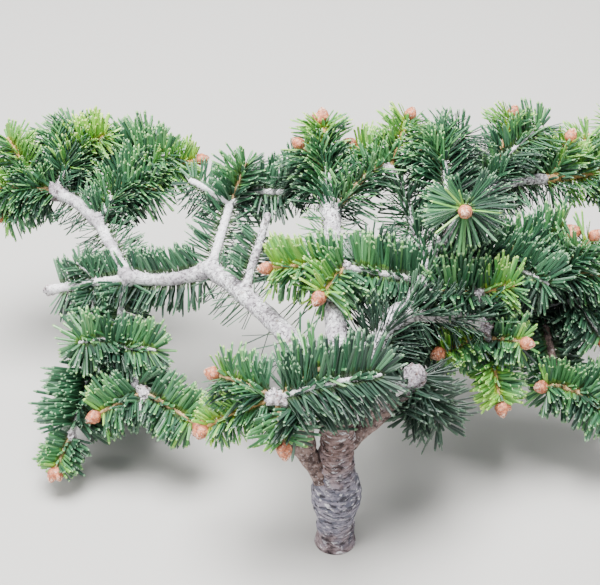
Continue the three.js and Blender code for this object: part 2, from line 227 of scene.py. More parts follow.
LIMBS = (
    Limb("bough_front_foot", "trunk", 0.36, 176, 57, 28, 5.0, 4.4, -1),
    Limb("bough_front", "bough_front_foot", 1, -78, 79, 32, 4.1, 3.8, 0),
    Limb("bough_left_inner", "trunk", 0.97, 124, 2, 109, 5.2, 4.0, 5, knob=0.8),
    Limb("bough_left_outer", "bough_left_inner", 1, 175, -9, 43, 3.5, 3.1, -4, knob=0.6),
    Limb("bough_left_turn", "bough_left_outer", 1, 115, 8, 45, 3.0, 2.8, 0, knob=0.4),
    Limb("bough_left_far", "bough_left_turn", 1, 141, 12, 31, 2.9, 3.4, 2, knob=1.4),
    Limb("stub_left", "bough_left_inner", 0.72, 66, 45, 40, 2.2, 1.9, 0),
    Limb("twig_left_low", "bough_left_outer", 1, -112, -59, 26, 1.8, 1.7, 0, knob=0.9),
    Limb("twig_left_foot", "twig_left_low", 1, -69, -27, 34, 1.7, 1.9, -4, knob=0.5),
    Limb("twig_left_drooping", "twig_left_low", 1, -137, -42, 24, 1.5, 1.6, 3),
    Limb("bough_middle", "trunk", 0.99, 91, 17, 108, 5.2, 4.2, 3, knob=0.4),
    Limb("bough_right_inner", "trunk", 0.86, 55, 25, 53, 4.8, 4.2, 4, knob=0.3),
    Limb("bough_right_middle", "bough_right_inner", 1, 62, 9, 50, 3.9, 3.3, -3, knob=0.3),
    Limb("bough_right_outer", "bough_right_middle", 1, 60, 9, 48, 3.1, 2.9, 2, knob=0.7),
    Limb("bough_right_far", "bough_right_outer", 1, 21, 0, 36, 2.7, 2.4, 2, knob=0.5),
    Limb("bough_right_back", "bough_right_middle", 0.8, 108, 25, 51, 2.0, 2.0, -3, knob=0.7),
    Limb("bough_right_rear", "bough_right_outer", 0.4, 119, 53, 17, 1.9, 1.8, 0),
    Limb("bough_right_mid", "bough_right_middle", 0.7, 26, 0, 39, 2.1, 1.9, 2),
    Limb("bough_right_low", "bough_right_inner", 1, 20, -19, 49, 3.0, 3.4, 3, knob=1.2),
    Limb("bough_right_lower", "bough_right_low", 1, 43, -17, 46, 2.3, 2.1, 3),
    Limb("bough_right_foot", "bough_right_lower", 1, -79, -35, 39, 1.9, 2.0, 3, knob=0.5),
    Limb("stub_front", "trunk", 0.62, 24, 38, 49, 3.6, 4.5, -4, knob=0.9),
)

MASSES = (
    Mass("foliage_left_tip", "bough_left_far", 1, -179, 13, 10, 2.0, 1.6, (
        Shoot(1, 3, -13, 32, 1, Age.FRESH),
        Shoot(1, -41, 36, 30, 0, Age.FRESH),
        Shoot(0.6, 14, -40, 27, 1, Age.GREEN)), Age.GREEN),
    Mass("foliage_left_crest", "bough_left_far", 1, 59, 50, 12, 1.8, 1.5, (
        Shoot(1, 59, -12, 22, 0, Age.GREEN, parting=48.0, pale=True),
        Shoot(1, 21, -14, 27, 0, Age.GREEN, parting=48.0, pale=True),
        Shoot(1, -7, -23, 31, 0, Age.GOLD),
        Shoot(0.7, -23, -33, 28, 0, Age.GREEN)), pale=True),
    Mass("foliage_left_fan", "bough_left_turn", 1, 61, 29, 24, 1.8, 1.5, (
        Shoot(1, 20, -3, 31, 0, Age.GREEN, parting=48.0, pale=True),
        Shoot(1, -14, -10, 33, 0, Age.GREEN, parting=48.0, pale=True),
        Shoot(1, -40, -22, 43, 1, Age.FRESH, forks=False),
        Shoot(0.6, -47, -23, 26, 0, Age.GREEN)), Age.GREEN, pale=True),
    Mass("foliage_left_side", "bough_left_outer", 0.93, 178, -12, 44, 2.1, 2.7, (
        Shoot(0.4, -30, 40, 15, 0, Age.OLD, needle=0.8, fullness=0.6),
        Shoot(0.45, 82, -39, 18, 0, Age.OLD, needle=0.9)), parting=58.0, needle=0.8,
         knob=2.9),
    Mass("foliage_left_low", "twig_left_low", 1, -112, -18, 14, 1.5, 1.3, (
        Shoot(1, 104, 22, 25, 0, Age.GREEN, parting=44.0, pale=True),
        Shoot(0.6, -32, 37, 18, 0, Age.GREEN, parting=44.0, pale=True)), Age.GREEN,
         pale=True),
    Mass("foliage_left_foot", "twig_left_foot", 1, -40, -17, 5, 1.6, 1.5, (
        Shoot(1, -114, 5, 24, 1, Age.GREEN, bare=0.15, parting=44.0),
        Shoot(1, 6, 8, 32, 2, Age.GREEN, forks=False, bare=0.1, parting=44.0),
        Shoot(1, -56, -10, 12, 0, Age.OLD, needle=0.8, fullness=0.5, bare=0.3)),
         needle=0.95, knob=3.4),
    Mass("foliage_left_droop", "twig_left_drooping", 1, -105, -32, 37, 1.5, 1.4, (
        Shoot(1, -11, 2, 18, 2, Age.GREEN, needle=0.6),), parting=16.0, needle=1.15,
         knob=2.6, fullness=1.35),
    Mass("foliage_left_rising", "bough_left_inner", 1, 75, 27, 38, 2.6, 2.2, (
        Shoot(1, 67, -19, 27, 0, Age.OLD),
        Shoot(1, -25, 28, 22, 0, Age.GREEN, needle=1.1, parting=30.0, stout=0.5),
        Shoot(1, -59, -10, 34, 0, Age.OLD)), parting=64.0, shoot_parting=58.0, needle=0.85,
         stoutness=1.7),
    Mass("foliage_leader", "bough_middle", 1, 97, 39, 22, 2.4, 1.8, (
        Shoot(1, 0, 13, 20, 2, Age.FRESH),
        Shoot(0.8, 48, -9, 17, 1, Age.GREEN),
        Shoot(0.5, 39, -50, 28, 0, Age.OLD)), Age.GREEN, pale=True),
    Mass("foliage_middle_right", "bough_middle", 0.93, 43, 29, 20, 1.8, 1.5, (
        Shoot(1, -8, -4, 16, 0, Age.GREEN, fullness=0.8),), Age.GREEN, parting=10.0,
         shoot_parting=10.0, fullness=0.8),
    Mass("foliage_back_left", "bough_right_back", 1, 142, 40, 7, 1.7, 1.5, (
        Shoot(1, 6, -21, 21, 1, Age.FRESH),
        Shoot(1, -79, -1, 28, 1, Age.FRESH)), knob=3.2),
    Mass("foliage_back", "bough_right_rear", 1, 97, 44, 17, 1.5, 1.3, (
        Shoot(1, 6, -9, 15, 0, Age.GREEN),
        Shoot(1, -51, -23, 17, 0, Age.OLD),
        Shoot(0.7, 49, -26, 15, 0, Age.GREEN))),
    Mass("foliage_rosette", "bough_right_outer", 0.75, -102, 31, 44, 1.6, 1.5, (
        Shoot(1, 4, -7, 17, 1, Age.GREEN),), needle=1.2, closing=10.0, bud=1.05,
         fullness=0.5),
    Mass("foliage_right_crest", "bough_right_outer", 1, 56, 30, 18, 1.9, 1.6, (
        Shoot(1, 10, 8, 27, 1, Age.FRESH, bare=0.62),
        Shoot(1, -22, -7, 31, 0, Age.GREEN, forks=False, needle=1.1,
              parting=47.0, pale=True)), Age.GREEN, pale=True),
    Mass("foliage_right_far", "bough_right_far", 1, 16, -2, 31, 2.9, 2.5, (
        Shoot(1, 1, 5, 37, 1, Age.FRESH),
        Shoot(1, 29, 22, 42, 1, Age.FRESH),
        Shoot(1, -55, -14, 38, 1, Age.GREEN),
        Shoot(0.15, 37, 51, 20, 1, Age.FRESH),
        Shoot(0.5, 46, 30, 26, 0, Age.FRESH)), Age.FRESH, parting=46.0, stoutness=1.45),
    Mass("foliage_right_mid", "bough_right_mid", 1, 16, 10, 17, 1.6, 1.4, (
        Shoot(1, -10, 5, 19, 3, Age.GREEN, parting=48.0),
        Shoot(0.6, -31, -20, 18, 0, Age.OLD, shade=0.3)), Age.GREEN, parting=46.0,
         bud=1.1),
    Mass("foliage_right_edge", "bough_right_mid", 0.62, 0, -13, 43, 1.5, 1.4, (
        Shoot(1, 26, 52, 24, 1, Age.GREEN),
        Shoot(1, -4, 14, 28, 1, Age.GREEN),
        Shoot(0.5, -40, 10, 20, 0, Age.OLD))),
    Mass("foliage_long_spray", "bough_right_middle", 0.6, -164, 22, 42, 2.0, 1.6, (
        Shoot(1, -14, -21, 34, 1, Age.FRESH, forks=False),
        Shoot(1, 41, -31, 20, 1, Age.FRESH),
        Shoot(0.45, -58, -6, 15, 0, Age.SHADED)), Age.GREEN, needle=1.1, knob=3.0,
         parting=46.0, pale=True),
    Mass("foliage_hanging", "bough_right_low", 1, 10, -75, 10, 1.7, 1.9, (
        Shoot(0.8, -157, 80, 27, 1, Age.FRESH),
        Shoot(1, -87, 34, 31, 2, Age.FRESH, forks=False),
        Shoot(0.9, -46, 93, 19, 1, Age.GREEN)), needle=0.85, knob=4.0),
    Mass("foliage_hanging_top", "bough_right_low", 0.9, 81, 39, 14, 1.7, 1.5, (
        Shoot(1, 20, -24, 15, 0, Age.GREEN),
        Shoot(1, -88, -19, 17, 0, Age.FRESH),
        Shoot(1, 118, -21, 22, 0, Age.GREEN),
        Shoot(1, 79, -9, 19, 0, Age.GREEN)), needle=1.1, knob=4.0),
    Mass("foliage_under", "bough_right_inner", 1, 41, -48, 29, 1.4, 1.2, (
        Shoot(1, 123, -32, 14, 0, Age.SHADED),), Age.SHADED),
    Mass("foliage_right_shade", "bough_right_lower", 1, -19, 31, 19, 1.7, 1.4, (
        Shoot(1, 11, -23, 19, 0, Age.SHADED),
        Shoot(1, -31, -63, 23, 1, Age.OLD)), Age.SHADED),
    Mass("foliage_right_foot", "bough_right_foot", 1, -35, 0, 11, 1.8, 1.5, (
        Shoot(1, -9, -11, 21, 1, Age.GREEN),
        Shoot(1, 39, 10, 22, 1, Age.GREEN),
        Shoot(0.3, -116, 22, 12, 1, Age.GREEN)), Age.GREEN, needle=0.9),
    Mass("foliage_front", "bough_front", 1, 178, 14, 13.5, 2.7, 2.3, (
        Shoot(1, -2, -45, 37, 2, Age.FRESH, forks=False, needle=0.68, bare=0.12, parting=44.0),
        Shoot(1, -25, -10, 29, 1, Age.GREEN, needle=0.78, bare=0.15),
        Shoot(1, 105, -62, 20, 1, Age.GREEN, needle=0.8, fullness=0.5, bare=0.3),
        Shoot(1, -161, 16, 24, 0, Age.GREEN, bare=0.2, parting=64.0),
        Shoot(1, -178, 2, 47, 0, Age.OLD, forks=False, needle=0.95, bare=0.08,
              parting=47.0, stout=1.3, pale=True, shade=0.45)), needle=1.2, knob=4.3),
    Mass("foliage_knob", "stub_front", 1, 20, -64, 17, 1.8, 1.4, (
        Shoot(1, -23, -4, 17, 0, Age.SHADED),
        Shoot(0.6, -171, 1, 16, 0, Age.SHADED)), Age.SHADED, fullness=0.8),
    Mass("foliage_behind", "bough_right_outer", 1, 66, -21, 49, 1.7, 1.5, (
        Shoot(1, 24, 26, 26, 0, Age.SHADED),
        Shoot(1, -24, 22, 28, 0, Age.OLD)), Age.SHADED),
)

NEEDLE_ROWS = (
    NeedleRow("bough_left_inner", 0.15, 0.5, 10, 12, 16),
    NeedleRow("bough_left_inner", 0.62, 0.98, 30, 28, 13),
    NeedleRow("bough_left_outer", 0.1, 0.95, 76, 84, 14),
    NeedleRow("bough_left_turn", 0.08, 0.95, 62, 64, 14),
    NeedleRow("bough_left_far", 0.1, 0.85, 30, 30, 13),
    NeedleRow("stub_left", 0.15, 0.75, 36, 32, 12),
    NeedleRow("twig_left_low", 0.1, 0.95, 58, 50, 14),
    NeedleRow("twig_left_foot", 0.05, 0.97, 100, 96, 15),
    NeedleRow("twig_left_drooping", 0.05, 0.97, 66, 60, 15),
    NeedleRow("bough_middle", 0.5, 0.98, 44, 44, 13, Age.GREEN),
    NeedleRow("bough_right_inner", 0.55, 0.98, 100, 84, 19, Age.SHADED, parted=False),
    NeedleRow("bough_right_middle", 0.04, 0.96, 130, 96, 16, parted=False),
    NeedleRow("bough_right_outer", 0.1, 0.97, 90, 116, 15),
    NeedleRow("bough_right_far", 0.03, 0.98, 40, 96, 15),
    NeedleRow("bough_right_back", 0.15, 0.98, 116, 116, 15, parted=False),
    NeedleRow("bough_right_rear", 0.1, 0.98, 44, 44, 15),
    NeedleRow("bough_right_mid", 0.1, 0.98, 104, 104, 15, Age.SHADED, parted=False),
    NeedleRow("bough_right_low", 0.15, 0.82, 100, 120, 15, Age.SHADED, parted=False),
    NeedleRow("bough_right_lower", 0.04, 0.97, 104, 104, 16, Age.SHADED, parted=False),
    NeedleRow("bough_right_foot", 0.05, 0.97, 84, 84, 15),
    NeedleRow("bough_front", 0.5, 0.97, 34, 26, 20),
    NeedleRow("stub_front", 0.66, 0.95, 52, 62, 18, Age.SHADED, parted=False),
)

REGIONS = (
    Region("needles_left_crown",
           ("foliage_left_tip", "foliage_left_crest", "foliage_left_fan"),
           ("bough_left_turn", "bough_left_far")),
    Region("needles_left_foot",
           ("foliage_left_side", "foliage_left_low", "foliage_left_foot", "foliage_left_droop",
            "foliage_left_rising"),
           ("bough_left_inner", "bough_left_outer", "stub_left", "twig_left_low",
            "twig_left_foot", "twig_left_drooping")),
    Region("needles_middle",
           ("foliage_leader", "foliage_middle_right", "foliage_back_left", "foliage_back",
            "foliage_rosette"),
           ("bough_middle", "bough_right_back", "bough_right_rear", "bough_right_outer")),
    Region("needles_front",
           ("foliage_front", "foliage_knob", "foliage_long_spray", "foliage_under"),
           ("bough_front", "bough_right_inner", "bough_right_middle", "stub_front")),
    Region("needles_right_crown",
           ("foliage_right_crest", "foliage_right_far", "foliage_behind", "foliage_right_mid"),
           ("bough_right_far", "bough_right_mid")),
    Region("needles_right_foot",
           ("foliage_right_edge", "foliage_hanging", "foliage_hanging_top",
            "foliage_right_shade", "foliage_right_foot"),
           ("bough_right_low", "bough_right_lower", "bough_right_foot")),
)

# Limbs that lie in shade, whose darker bark is painted shade.
SHADED_LIMBS = ("bough_front_foot", "bough_front", "stub_front", "bough_right_low",
                "bough_right_lower", "bough_right_foot", "bough_right_mid")

LOOKS = {
    # Painted shade: the SHADED colours are darker greens for needles that lie in shade.
    Age.SHADED: NeedleLook(
        (paint(38, 66, 50), paint(30, 54, 42), paint(52, 82, 62), paint(26, 46, 38)),
        paint(48, 68, 42), paint(62, 88, 72), paint(80, 106, 84), 18.0, 30.0),
    Age.OLD: NeedleLook(
        (paint(54, 98, 68), paint(43, 84, 57), paint(76, 121, 86), paint(34, 68, 50)),
        paint(62, 92, 54), paint(84, 121, 92), paint(122, 161, 121), 18.0, 42.0),
    Age.GREEN: NeedleLook(
        (paint(74, 130, 76), paint(58, 112, 66), paint(100, 152, 92), paint(46, 88, 60)),
        paint(94, 136, 58), paint(104, 146, 98), paint(142, 184, 118), 16.5, 36.0),
    Age.FRESH: NeedleLook(
        (paint(112, 172, 72), paint(92, 156, 66), paint(138, 188, 84), paint(76, 140, 66)),
        paint(156, 188, 64), paint(134, 180, 92), paint(170, 206, 110), 15.0, 34.0),
    Age.GOLD: NeedleLook(
        (paint(136, 194, 62), paint(116, 180, 58), paint(162, 208, 78), paint(96, 160, 58)),
        paint(178, 202, 74), paint(172, 202, 100), paint(196, 220, 118), 15.0, 18.0),
}
BARK_AGES = {Age.SHADED: Age.OLD, Age.GOLD: Age.FRESH}


class Chance:
    """Repeatable numbers from 0 to 1, the same run of them for the same seed."""

    factor = 16807
    modulus = 2147483647

    def __init__(self, seed: int) -> None:
        """Start the run from a seed."""
        self.state = seed

    def __call__(self) -> float:
        """Give the next number."""
        self.state = self.state * self.factor % self.modulus
        return self.state / self.modulus


def direction(heading: float, rise: float) -> np.ndarray:
    """Turn a heading and a rise into a direction.

    Args:
        heading: Degrees anticlockwise from +X in plan.
        rise: Degrees above level.

    Returns:
        A vector of length 1.
    """
    turn, lift = math.radians(heading), math.radians(rise)
    flat = math.cos(lift)
    return np.array([flat * math.cos(turn), flat * math.sin(turn), math.sin(lift)])


def unit(vectors: np.ndarray) -> np.ndarray:
    """Scale vectors to length 1, along the last axis."""
    return vectors / np.maximum(np.linalg.norm(vectors, axis=-1, keepdims=True), 1e-12)


def wheel(sides: int) -> np.ndarray:
    """Give how far round each point of a ring is, in radians."""
    return np.arange(sides) * 2 * math.pi / sides


def half_turned(turns: np.ndarray) -> np.ndarray:
    """Bring turns in radians between half a turn back and half a turn forward."""
    return (turns + math.pi) % (2 * math.pi) - math.pi


def spokes(across: np.ndarray, upper: np.ndarray, turns: np.ndarray) -> np.ndarray:
    """Give directions round each place of an axis, from two that are square to it there."""
    return (across[..., None, :] * np.cos(turns)[:, None]
            + upper[..., None, :] * np.sin(turns)[:, None])


def rough(points: np.ndarray, size: float, seed: float) -> np.ndarray:
    """Give soft noise between -1 and 1 at points.

    Args:
        points: Places in millimetres, of any shape with 3 in the last axis.
        size: How large the noise's features are, in millimetres.
        seed: Moves the noise, so that two uses of it differ.

    Returns:
        One value for each point.
    """
    flat = points.reshape(-1, 3) / size + seed
    values = np.array([noise.noise(Vector(place)) for place in flat])
    return values.reshape(points.shape[:-1])


def layered(points: np.ndarray, layers: Layers) -> np.ndarray:
    """Add up layers of soft noise at points, each given as its height, size and seed."""
    return sum(height * rough(points, size, seed) for height, size, seed in layers)


@dataclass(frozen=True)
class Path:
    """A smooth path through space: a start, an end and a bow between them."""

    start: np.ndarray
    middle: np.ndarray
    end: np.ndarray

    @classmethod
    def grow(cls, start: np.ndarray, heading: float, rise: float, length: float,
             bow: float) -> "Path":
        """Grow a path from its start, with its middle a bow above the straight line."""
        end = start + direction(heading, rise) * length
        return cls(start, (start + end) / 2 + 2 * bow * UP, end)

    def point(self, share: np.ndarray | float) -> np.ndarray:
        """Give the point a share of the way along, or one point for each of many shares."""
        t = np.asarray(share, float)[..., None]
        return (1 - t) ** 2 * self.start + 2 * t * (1 - t) * self.middle + t ** 2 * self.end

    def along(self, share: np.ndarray | float) -> np.ndarray:
        """Give the path's direction at one or many shares of the way along."""
        t = np.asarray(share, float)[..., None]
        return unit((1 - t) * (self.middle - self.start) + t * (self.end - self.middle))

    def length(self) -> float:
        """Measure the path from end to end, in millimetres."""
        return float(np.linalg.norm(self.end - self.start))

    def square(self, share: np.ndarray | float) -> tuple[np.ndarray, np.ndarray]:
        """Give the directions square to the path.

        Args:
            share: One or many shares of the way along.

        Returns:
            The directions across it, and those to its upper side.
        """
        along = self.along(share)
        reference = AWAY if abs(self.along(0.0)[2]) > STEEP else UP
        across = unit(np.cross(reference, along))
        return across, np.cross(along, across)

    def lit(self, share: np.ndarray) -> tuple[np.ndarray, np.ndarray]:
        """Give the directions square to the path, as the light falls on it.

        Args:
            share: Shares of the way along.

        Returns:
            The directions to its front, and those to its lit side.
        """
        along = self.along(share)
        reference = AWAY if abs(self.along(0.5) @ LIT_SIDE) > ALONG_LIGHT else LIT_SIDE
        across = unit(np.cross(reference, along))
        across = across * np.where(across @ FRONT < 0, -1.0, 1.0)[:, None]
        return across, unit(reference - along * (along @ reference)[:, None])


@dataclass(frozen=True)
class Stretch:
    """A straight, round stretch of space that needles keep clear of."""

    start: np.ndarray
    end: np.ndarray
    radius: float
    tested: tuple[float, ...] = (0.35, 0.55, 0.75, 0.98)

    def entered(self, root: np.ndarray, aim: np.ndarray, length: np.ndarray) -> np.ndarray:
        """Tell which needles run into the stretch with their outer two thirds.

        Args:
            root: Where the needles start.
            aim: Where they point.
            length: How long they are.

        Returns:
            True for each needle that runs into it.
        """
        axis = self.end - self.start
        hit = np.zeros(len(root), bool)
        for share in self.tested:
            place = root + aim * (length * share)[:, None] - self.start
            along = np.clip(place @ axis / (axis @ axis), 0, 1)
            hit |= np.linalg.norm(place - along[:, None] * axis, axis=1) < self.radius
        return hit


@dataclass(frozen=True)
class Twig:
    """A grown twig: its path and thickness, and the mass and shoot that set its habit."""

    path: Path
    root: float
    tip: float
    length: float
    mass: Mass
    shoot: Shoot
    buds: int = 0
    is_stem: bool = False

    @property
    def knob(self) -> float:
        """Give the radius of the knob at the tip, which only a stem has."""
        return self.mass.knob if self.is_stem else 0.0

    @property
    def stoutness(self) -> float:
        """Give how many times as thick as usual the twig's skin is."""
        return 1.0 if self.is_stem else self.mass.stoutness * self.shoot.stout

    @property
    def parting(self) -> float:
        """Give how far the needles part to each side of the lit side, in degrees."""
        own = self.mass.parting if self.is_stem else self.shoot.parting or self.mass.shoot_parting
        return own or LOOKS[self.shoot.age].parting


@dataclass
class Crown:
    """The whole growth: every limb's path, and every mass's twigs."""

    limbs: dict[str, tuple[Limb, Path]] = field(default_factory=dict)
    masses: dict[str, list[Twig]] = field(default_factory=dict)
    first_seed: int = 1009
    seed_step: int = 613

    def grow(self) -> "Crown":
        """Grow the limbs, each from the one that bears it, and then the masses.

        Returns:
            This crown, grown.
        """
        for limb in (TRUNK, *LIMBS):
            start = self.limbs[limb.on][1].point(limb.start) if limb.on else np.zeros(3)
            path = Path.grow(start, limb.heading, limb.rise, limb.length, limb.bow)
            self.limbs[limb.name] = (limb, path)
        for index, mass in enumerate(MASSES):
            chance = Chance(self.first_seed + self.seed_step * index)
            self.masses[mass.name] = self.lay_out(mass, chance)
        return self

    def lay_out(self, mass: Mass, chance: Chance) -> list[Twig]:
        """Lay out one mass: its stem, its shoots, and a side twig on each long shoot.

        Args:
            mass: The mass's growth values.
            chance: The numbers that place its side twigs.

        Returns:
            The mass's twigs, the stem first.
        """
        start = self.limbs[mass.on][1].point(mass.start)
        stem = Path.grow(start, mass.heading, mass.rise, mass.length, 0)
        as_shoot = Shoot(0.0, 0.0, 0.0, mass.length, 0, mass.age, pale=mass.pale)
        twigs = [Twig(stem, mass.root, mass.tip, mass.length, mass, as_shoot, is_stem=True)]
        for shoot in mass.shoots:
            heading, rise = mass.heading + shoot.turn, mass.rise + shoot.lift
            path = Path.grow(stem.point(shoot.start), heading, rise, shoot.length,
                             shoot.length * SHOOT_BOW)
            twigs.append(Twig(path, SHOOT_ROOT, SHOOT_TIP, shoot.length, mass, shoot, shoot.buds))
            if shoot.forks and shoot.length >= SIDE_TWIG_FROM_LENGTH:
                side = -1 if chance() < 0.5 else 1
                place = path.point(SIDE_TWIG_LOWEST + SIDE_TWIG_HIGHER_BY * chance())
                varied = SIDE_TWIG_SHORTEST + SIDE_TWIG_LONGER_BY * chance()
                length = shoot.length * SIDE_TWIG_SHARE * varied
                branch = Path.grow(place, heading + side * SIDE_TWIG_ANGLE, rise, length, 0)
                twigs.append(Twig(branch, SHOOT_TIP, SHOOT_TIP, length, mass, shoot))
        return twigs

    def twigs(self) -> list[Twig]:
        """Give the twigs of every mass, in order."""
        return [twig for twigs in self.masses.values() for twig in twigs]

    def children(self, name: str) -> list[float]:
        """Give the shares along a limb at which others leave it."""
        return [child.start for child in (*LIMBS, *MASSES) if child.on == name]


class Signal:
    """A value that runs through a material's nodes, with the usual arithmetic."""

    def __init__(self, shader: "Shader", socket: bpy.types.NodeSocket) -> None:
        """Wrap one output socket of one material."""
        self.shader = shader
        self.socket = socket

    def maths(self, operation: str, first: "Signal | float", second: "Signal | float") -> "Signal":
        """Add a Math node for one operation.

        Args:
            operation: The node's operation.
            first: The first operand.
            second: The second operand.

        Returns:
            The node's result.
        """
        node = self.shader.node("ShaderNodeMath", {"operation": operation},
                                {0: first, 1: second})
        return Signal(self.shader, node.outputs[0])

    def __add__(self, other: "Signal | float") -> "Signal":
        """Add."""
        return self.maths("ADD", self, other)

    def __sub__(self, other: "Signal | float") -> "Signal":
        """Subtract."""
        return self.maths("SUBTRACT", self, other)

    def __rsub__(self, other: "Signal | float") -> "Signal":
        """Subtract this from a number."""
        return self.maths("SUBTRACT", other, self)

    def __mul__(self, other: "Signal | float") -> "Signal":
        """Multiply."""
        return self.maths("MULTIPLY", self, other)

    __radd__ = __add__
    __rmul__ = __mul__


@dataclass(frozen=True)
class Spots:
    """Spots of soft noise: their size in millimetres, and where the noise passes for one.

    The spots run from 0 where the noise is at `low` to `share` where it is at `high`.
    """

    size: float
    low: float
    high: float
    share: float = 1.0
    detail: float = 3.0
    roughness: float = 0.55
    stretch: tuple[float, float, float] = (1, 1, 1)


class Shader:
    """One material made of nodes, from its coordinates to its surface."""

    def __init__(self, name: str) -> None:
        """Start an empty material with a Principled surface.

        Args:
            name: The material's name.
        """
        self.material = bpy.data.materials.new(name)
        self.material.use_nodes = True
        self.tree = self.material.node_tree
        self.tree.nodes.clear()
        output = self.tree.nodes.new("ShaderNodeOutputMaterial")
        self.surface = self.tree.nodes.new("ShaderNodeBsdfPrincipled")
        self.tree.links.new(self.surface.outputs[0], output.inputs[0])

    def node(self, kind: str, settings: dict, sockets: dict) -> bpy.types.Node:
        """Add a node, with its settings first and then its sockets.

        Args:
            kind: The node's type.
            settings: Attributes of the node.
            sockets: Values or signals by socket name or number.

        Returns:
            The node.
        """
        node = self.tree.nodes.new(kind)
        for name, value in settings.items():
            setattr(node, name, value)
        self.fill(node, sockets)
        return node

    def fill(self, node: bpy.types.Node, sockets: dict) -> None:
        """Link or set sockets of a node.

        Args:
            node: The node.
            sockets: Values or signals by socket name or number.
        """
        for name, value in sockets.items():
            if isinstance(value, Signal):
                self.tree.links.new(value.socket, node.inputs[name])
            else:
                node.inputs[name].default_value = value

    def coordinates(self, stretch: tuple[float, float, float] = (1, 1, 1)) -> Signal:
        """Give the place on the object in millimetres.

        Args:
            stretch: How many times it is stretched along each axis.

        Returns:
            The place.
        """
        place = self.node("ShaderNodeTexCoord", {}, {})
        scale = tuple(value / METRE for value in stretch)
        node = self.node("ShaderNodeVectorMath", {"operation": "MULTIPLY"},
                         {0: Signal(self, place.outputs["Object"]), 1: scale})
        return Signal(self, node.outputs[0])

    def axis(self, name: str = "Z") -> Signal:
        """Give the place along one axis in millimetres, usually the height."""
        node = self.node("ShaderNodeSeparateXYZ", {}, {0: self.coordinates()})
        return Signal(self, node.outputs[name])

    def noise(self, size: float, detail: float = 3.0, roughness: float = 0.55,
              stretch: tuple[float, float, float] = (1, 1, 1)) -> Signal:
        """Give soft noise.

        Args:
            size: How large its features are, in millimetres.
            detail: How many finer layers it has.
            roughness: How strong these are.
            stretch: How many times finer it is along each axis.

        Returns:
            The noise, from 0 to 1.
        """
        node = self.node("ShaderNodeTexNoise", {"noise_dimensions": "3D"},
                         {"Vector": self.coordinates(stretch), "Scale": 1 / size,
                          "Detail": detail, "Roughness": roughness})
        return Signal(self, node.outputs[0])

    def cells(self, size: float) -> Signal:
        """Give the distance from the nearest of many points a size in millimetres apart."""
        node = self.node("ShaderNodeTexVoronoi", {"feature": "F1"},
                         {"Vector": self.coordinates(), "Scale": 1 / size})
        return Signal(self, node.outputs["Distance"])

    def band(self, value: Signal, low: float, high: float) -> Signal:
        """Ramp a value from 0 at low to 1 at high, which may be the smaller."""
        node = self.node("ShaderNodeMapRange", {"interpolation_type": "SMOOTHSTEP"},
                         {"Value": value, "From Min": low, "From Max": high})
        return Signal(self, node.outputs[0])

    def spots(self, spots: Spots) -> Signal:
        """Give spots of soft noise, from 0 between them to their share inside them."""
        value = self.noise(spots.size, spots.detail, spots.roughness, spots.stretch)
        mask = self.band(value, spots.low, spots.high)
        return mask if spots.share == 1 else mask * spots.share

    def blend(self, share: Signal | float, under: Signal | tuple, over: Signal | tuple) -> Signal:
        """Mix two colours, of which the second shows by its share, from 0 to 1."""
        node = self.node("ShaderNodeMix", {"data_type": "RGBA"}, {0: share, 6: under, 7: over})
        return Signal(self, node.outputs[2])

    def finish(self, colour: Signal | tuple, roughness: Signal | float,
               height: Signal | None = None, depth: float = 0.0,
               uniform: dict | None = None) -> bpy.types.Material:
        """Join the results to the surface.

        Args:
            colour: The base colour.
            roughness: The roughness.
            height: A height that bumps the surface.
            depth: How deep the bump is, in millimetres.
            uniform: Other sockets of the surface, with a value that is the same all over.

        Returns:
            The finished material.
        """
        self.fill(self.surface, {"Base Color": colour, "Roughness": roughness, **(uniform or {})})
        if height is not None:
            bump = self.node("ShaderNodeBump", {}, {"Height": height, "Distance": depth * METRE})
            self.tree.links.new(bump.outputs[0], self.surface.inputs["Normal"])
        return self.material


@dataclass(frozen=True)
class BoughBark:
    """Smooth pale bark with fine lilac-grey specks and duller, browner patches.

    Near the trunk the boughs are greyer, partly as painted shade, along X from `inner_from` to
    `inner_to`.
    """

    name: str = "pale_bough_bark"
    pale: Colour = paint(238, 238, 240)
    grey: Colour = paint(186, 180, 186)
    inner_grey_and_shade: Colour = paint(128, 120, 128)
    brown: Colour = paint(132, 112, 92)
    speck: Colour = paint(92, 84, 88)
    patches: Spots = Spots(9, 0.42, 0.62, detail=4)
    grain: Spots = Spots(1.5, 0.46, 0.58, detail=4, roughness=0.7)
    worn: Spots = Spots(5, 0.58, 0.7, 0.6, detail=5, roughness=0.65)
    specks: Spots = Spots(1.7, 0.54, 0.61, roughness=0.7)
    inner_from: float = -100.0
    inner_to: float = -40.0

    def build(self) -> bpy.types.Material:
        """Build the material.

        Returns:
            The material.
        """
        shader = Shader(self.name)
        # Near the trunk a grey takes over, partly the bark's own and partly painted shade.
        inner_grey_and_shade = shader.band(shader.axis("X"), self.inner_from, self.inner_to)
        grain = shader.spots(self.grain) * (inner_grey_and_shade * 0.4 + 0.35)
        specks = shader.spots(self.specks) * (inner_grey_and_shade * 0.3 + 0.6)
        colour = shader.blend(shader.spots(self.patches), self.pale, self.grey)
        colour = shader.blend(grain, colour, self.inner_grey_and_shade)
        colour = shader.blend(shader.spots(self.worn), colour, self.brown)
        colour = shader.blend(specks, colour, self.speck)
        height = shader.noise(1.1, 4, 0.6) - specks * 0.5
        return shader.finish(colour, 0.74 + shader.noise(2, 2) * 0.2, height, 0.5, DULL)


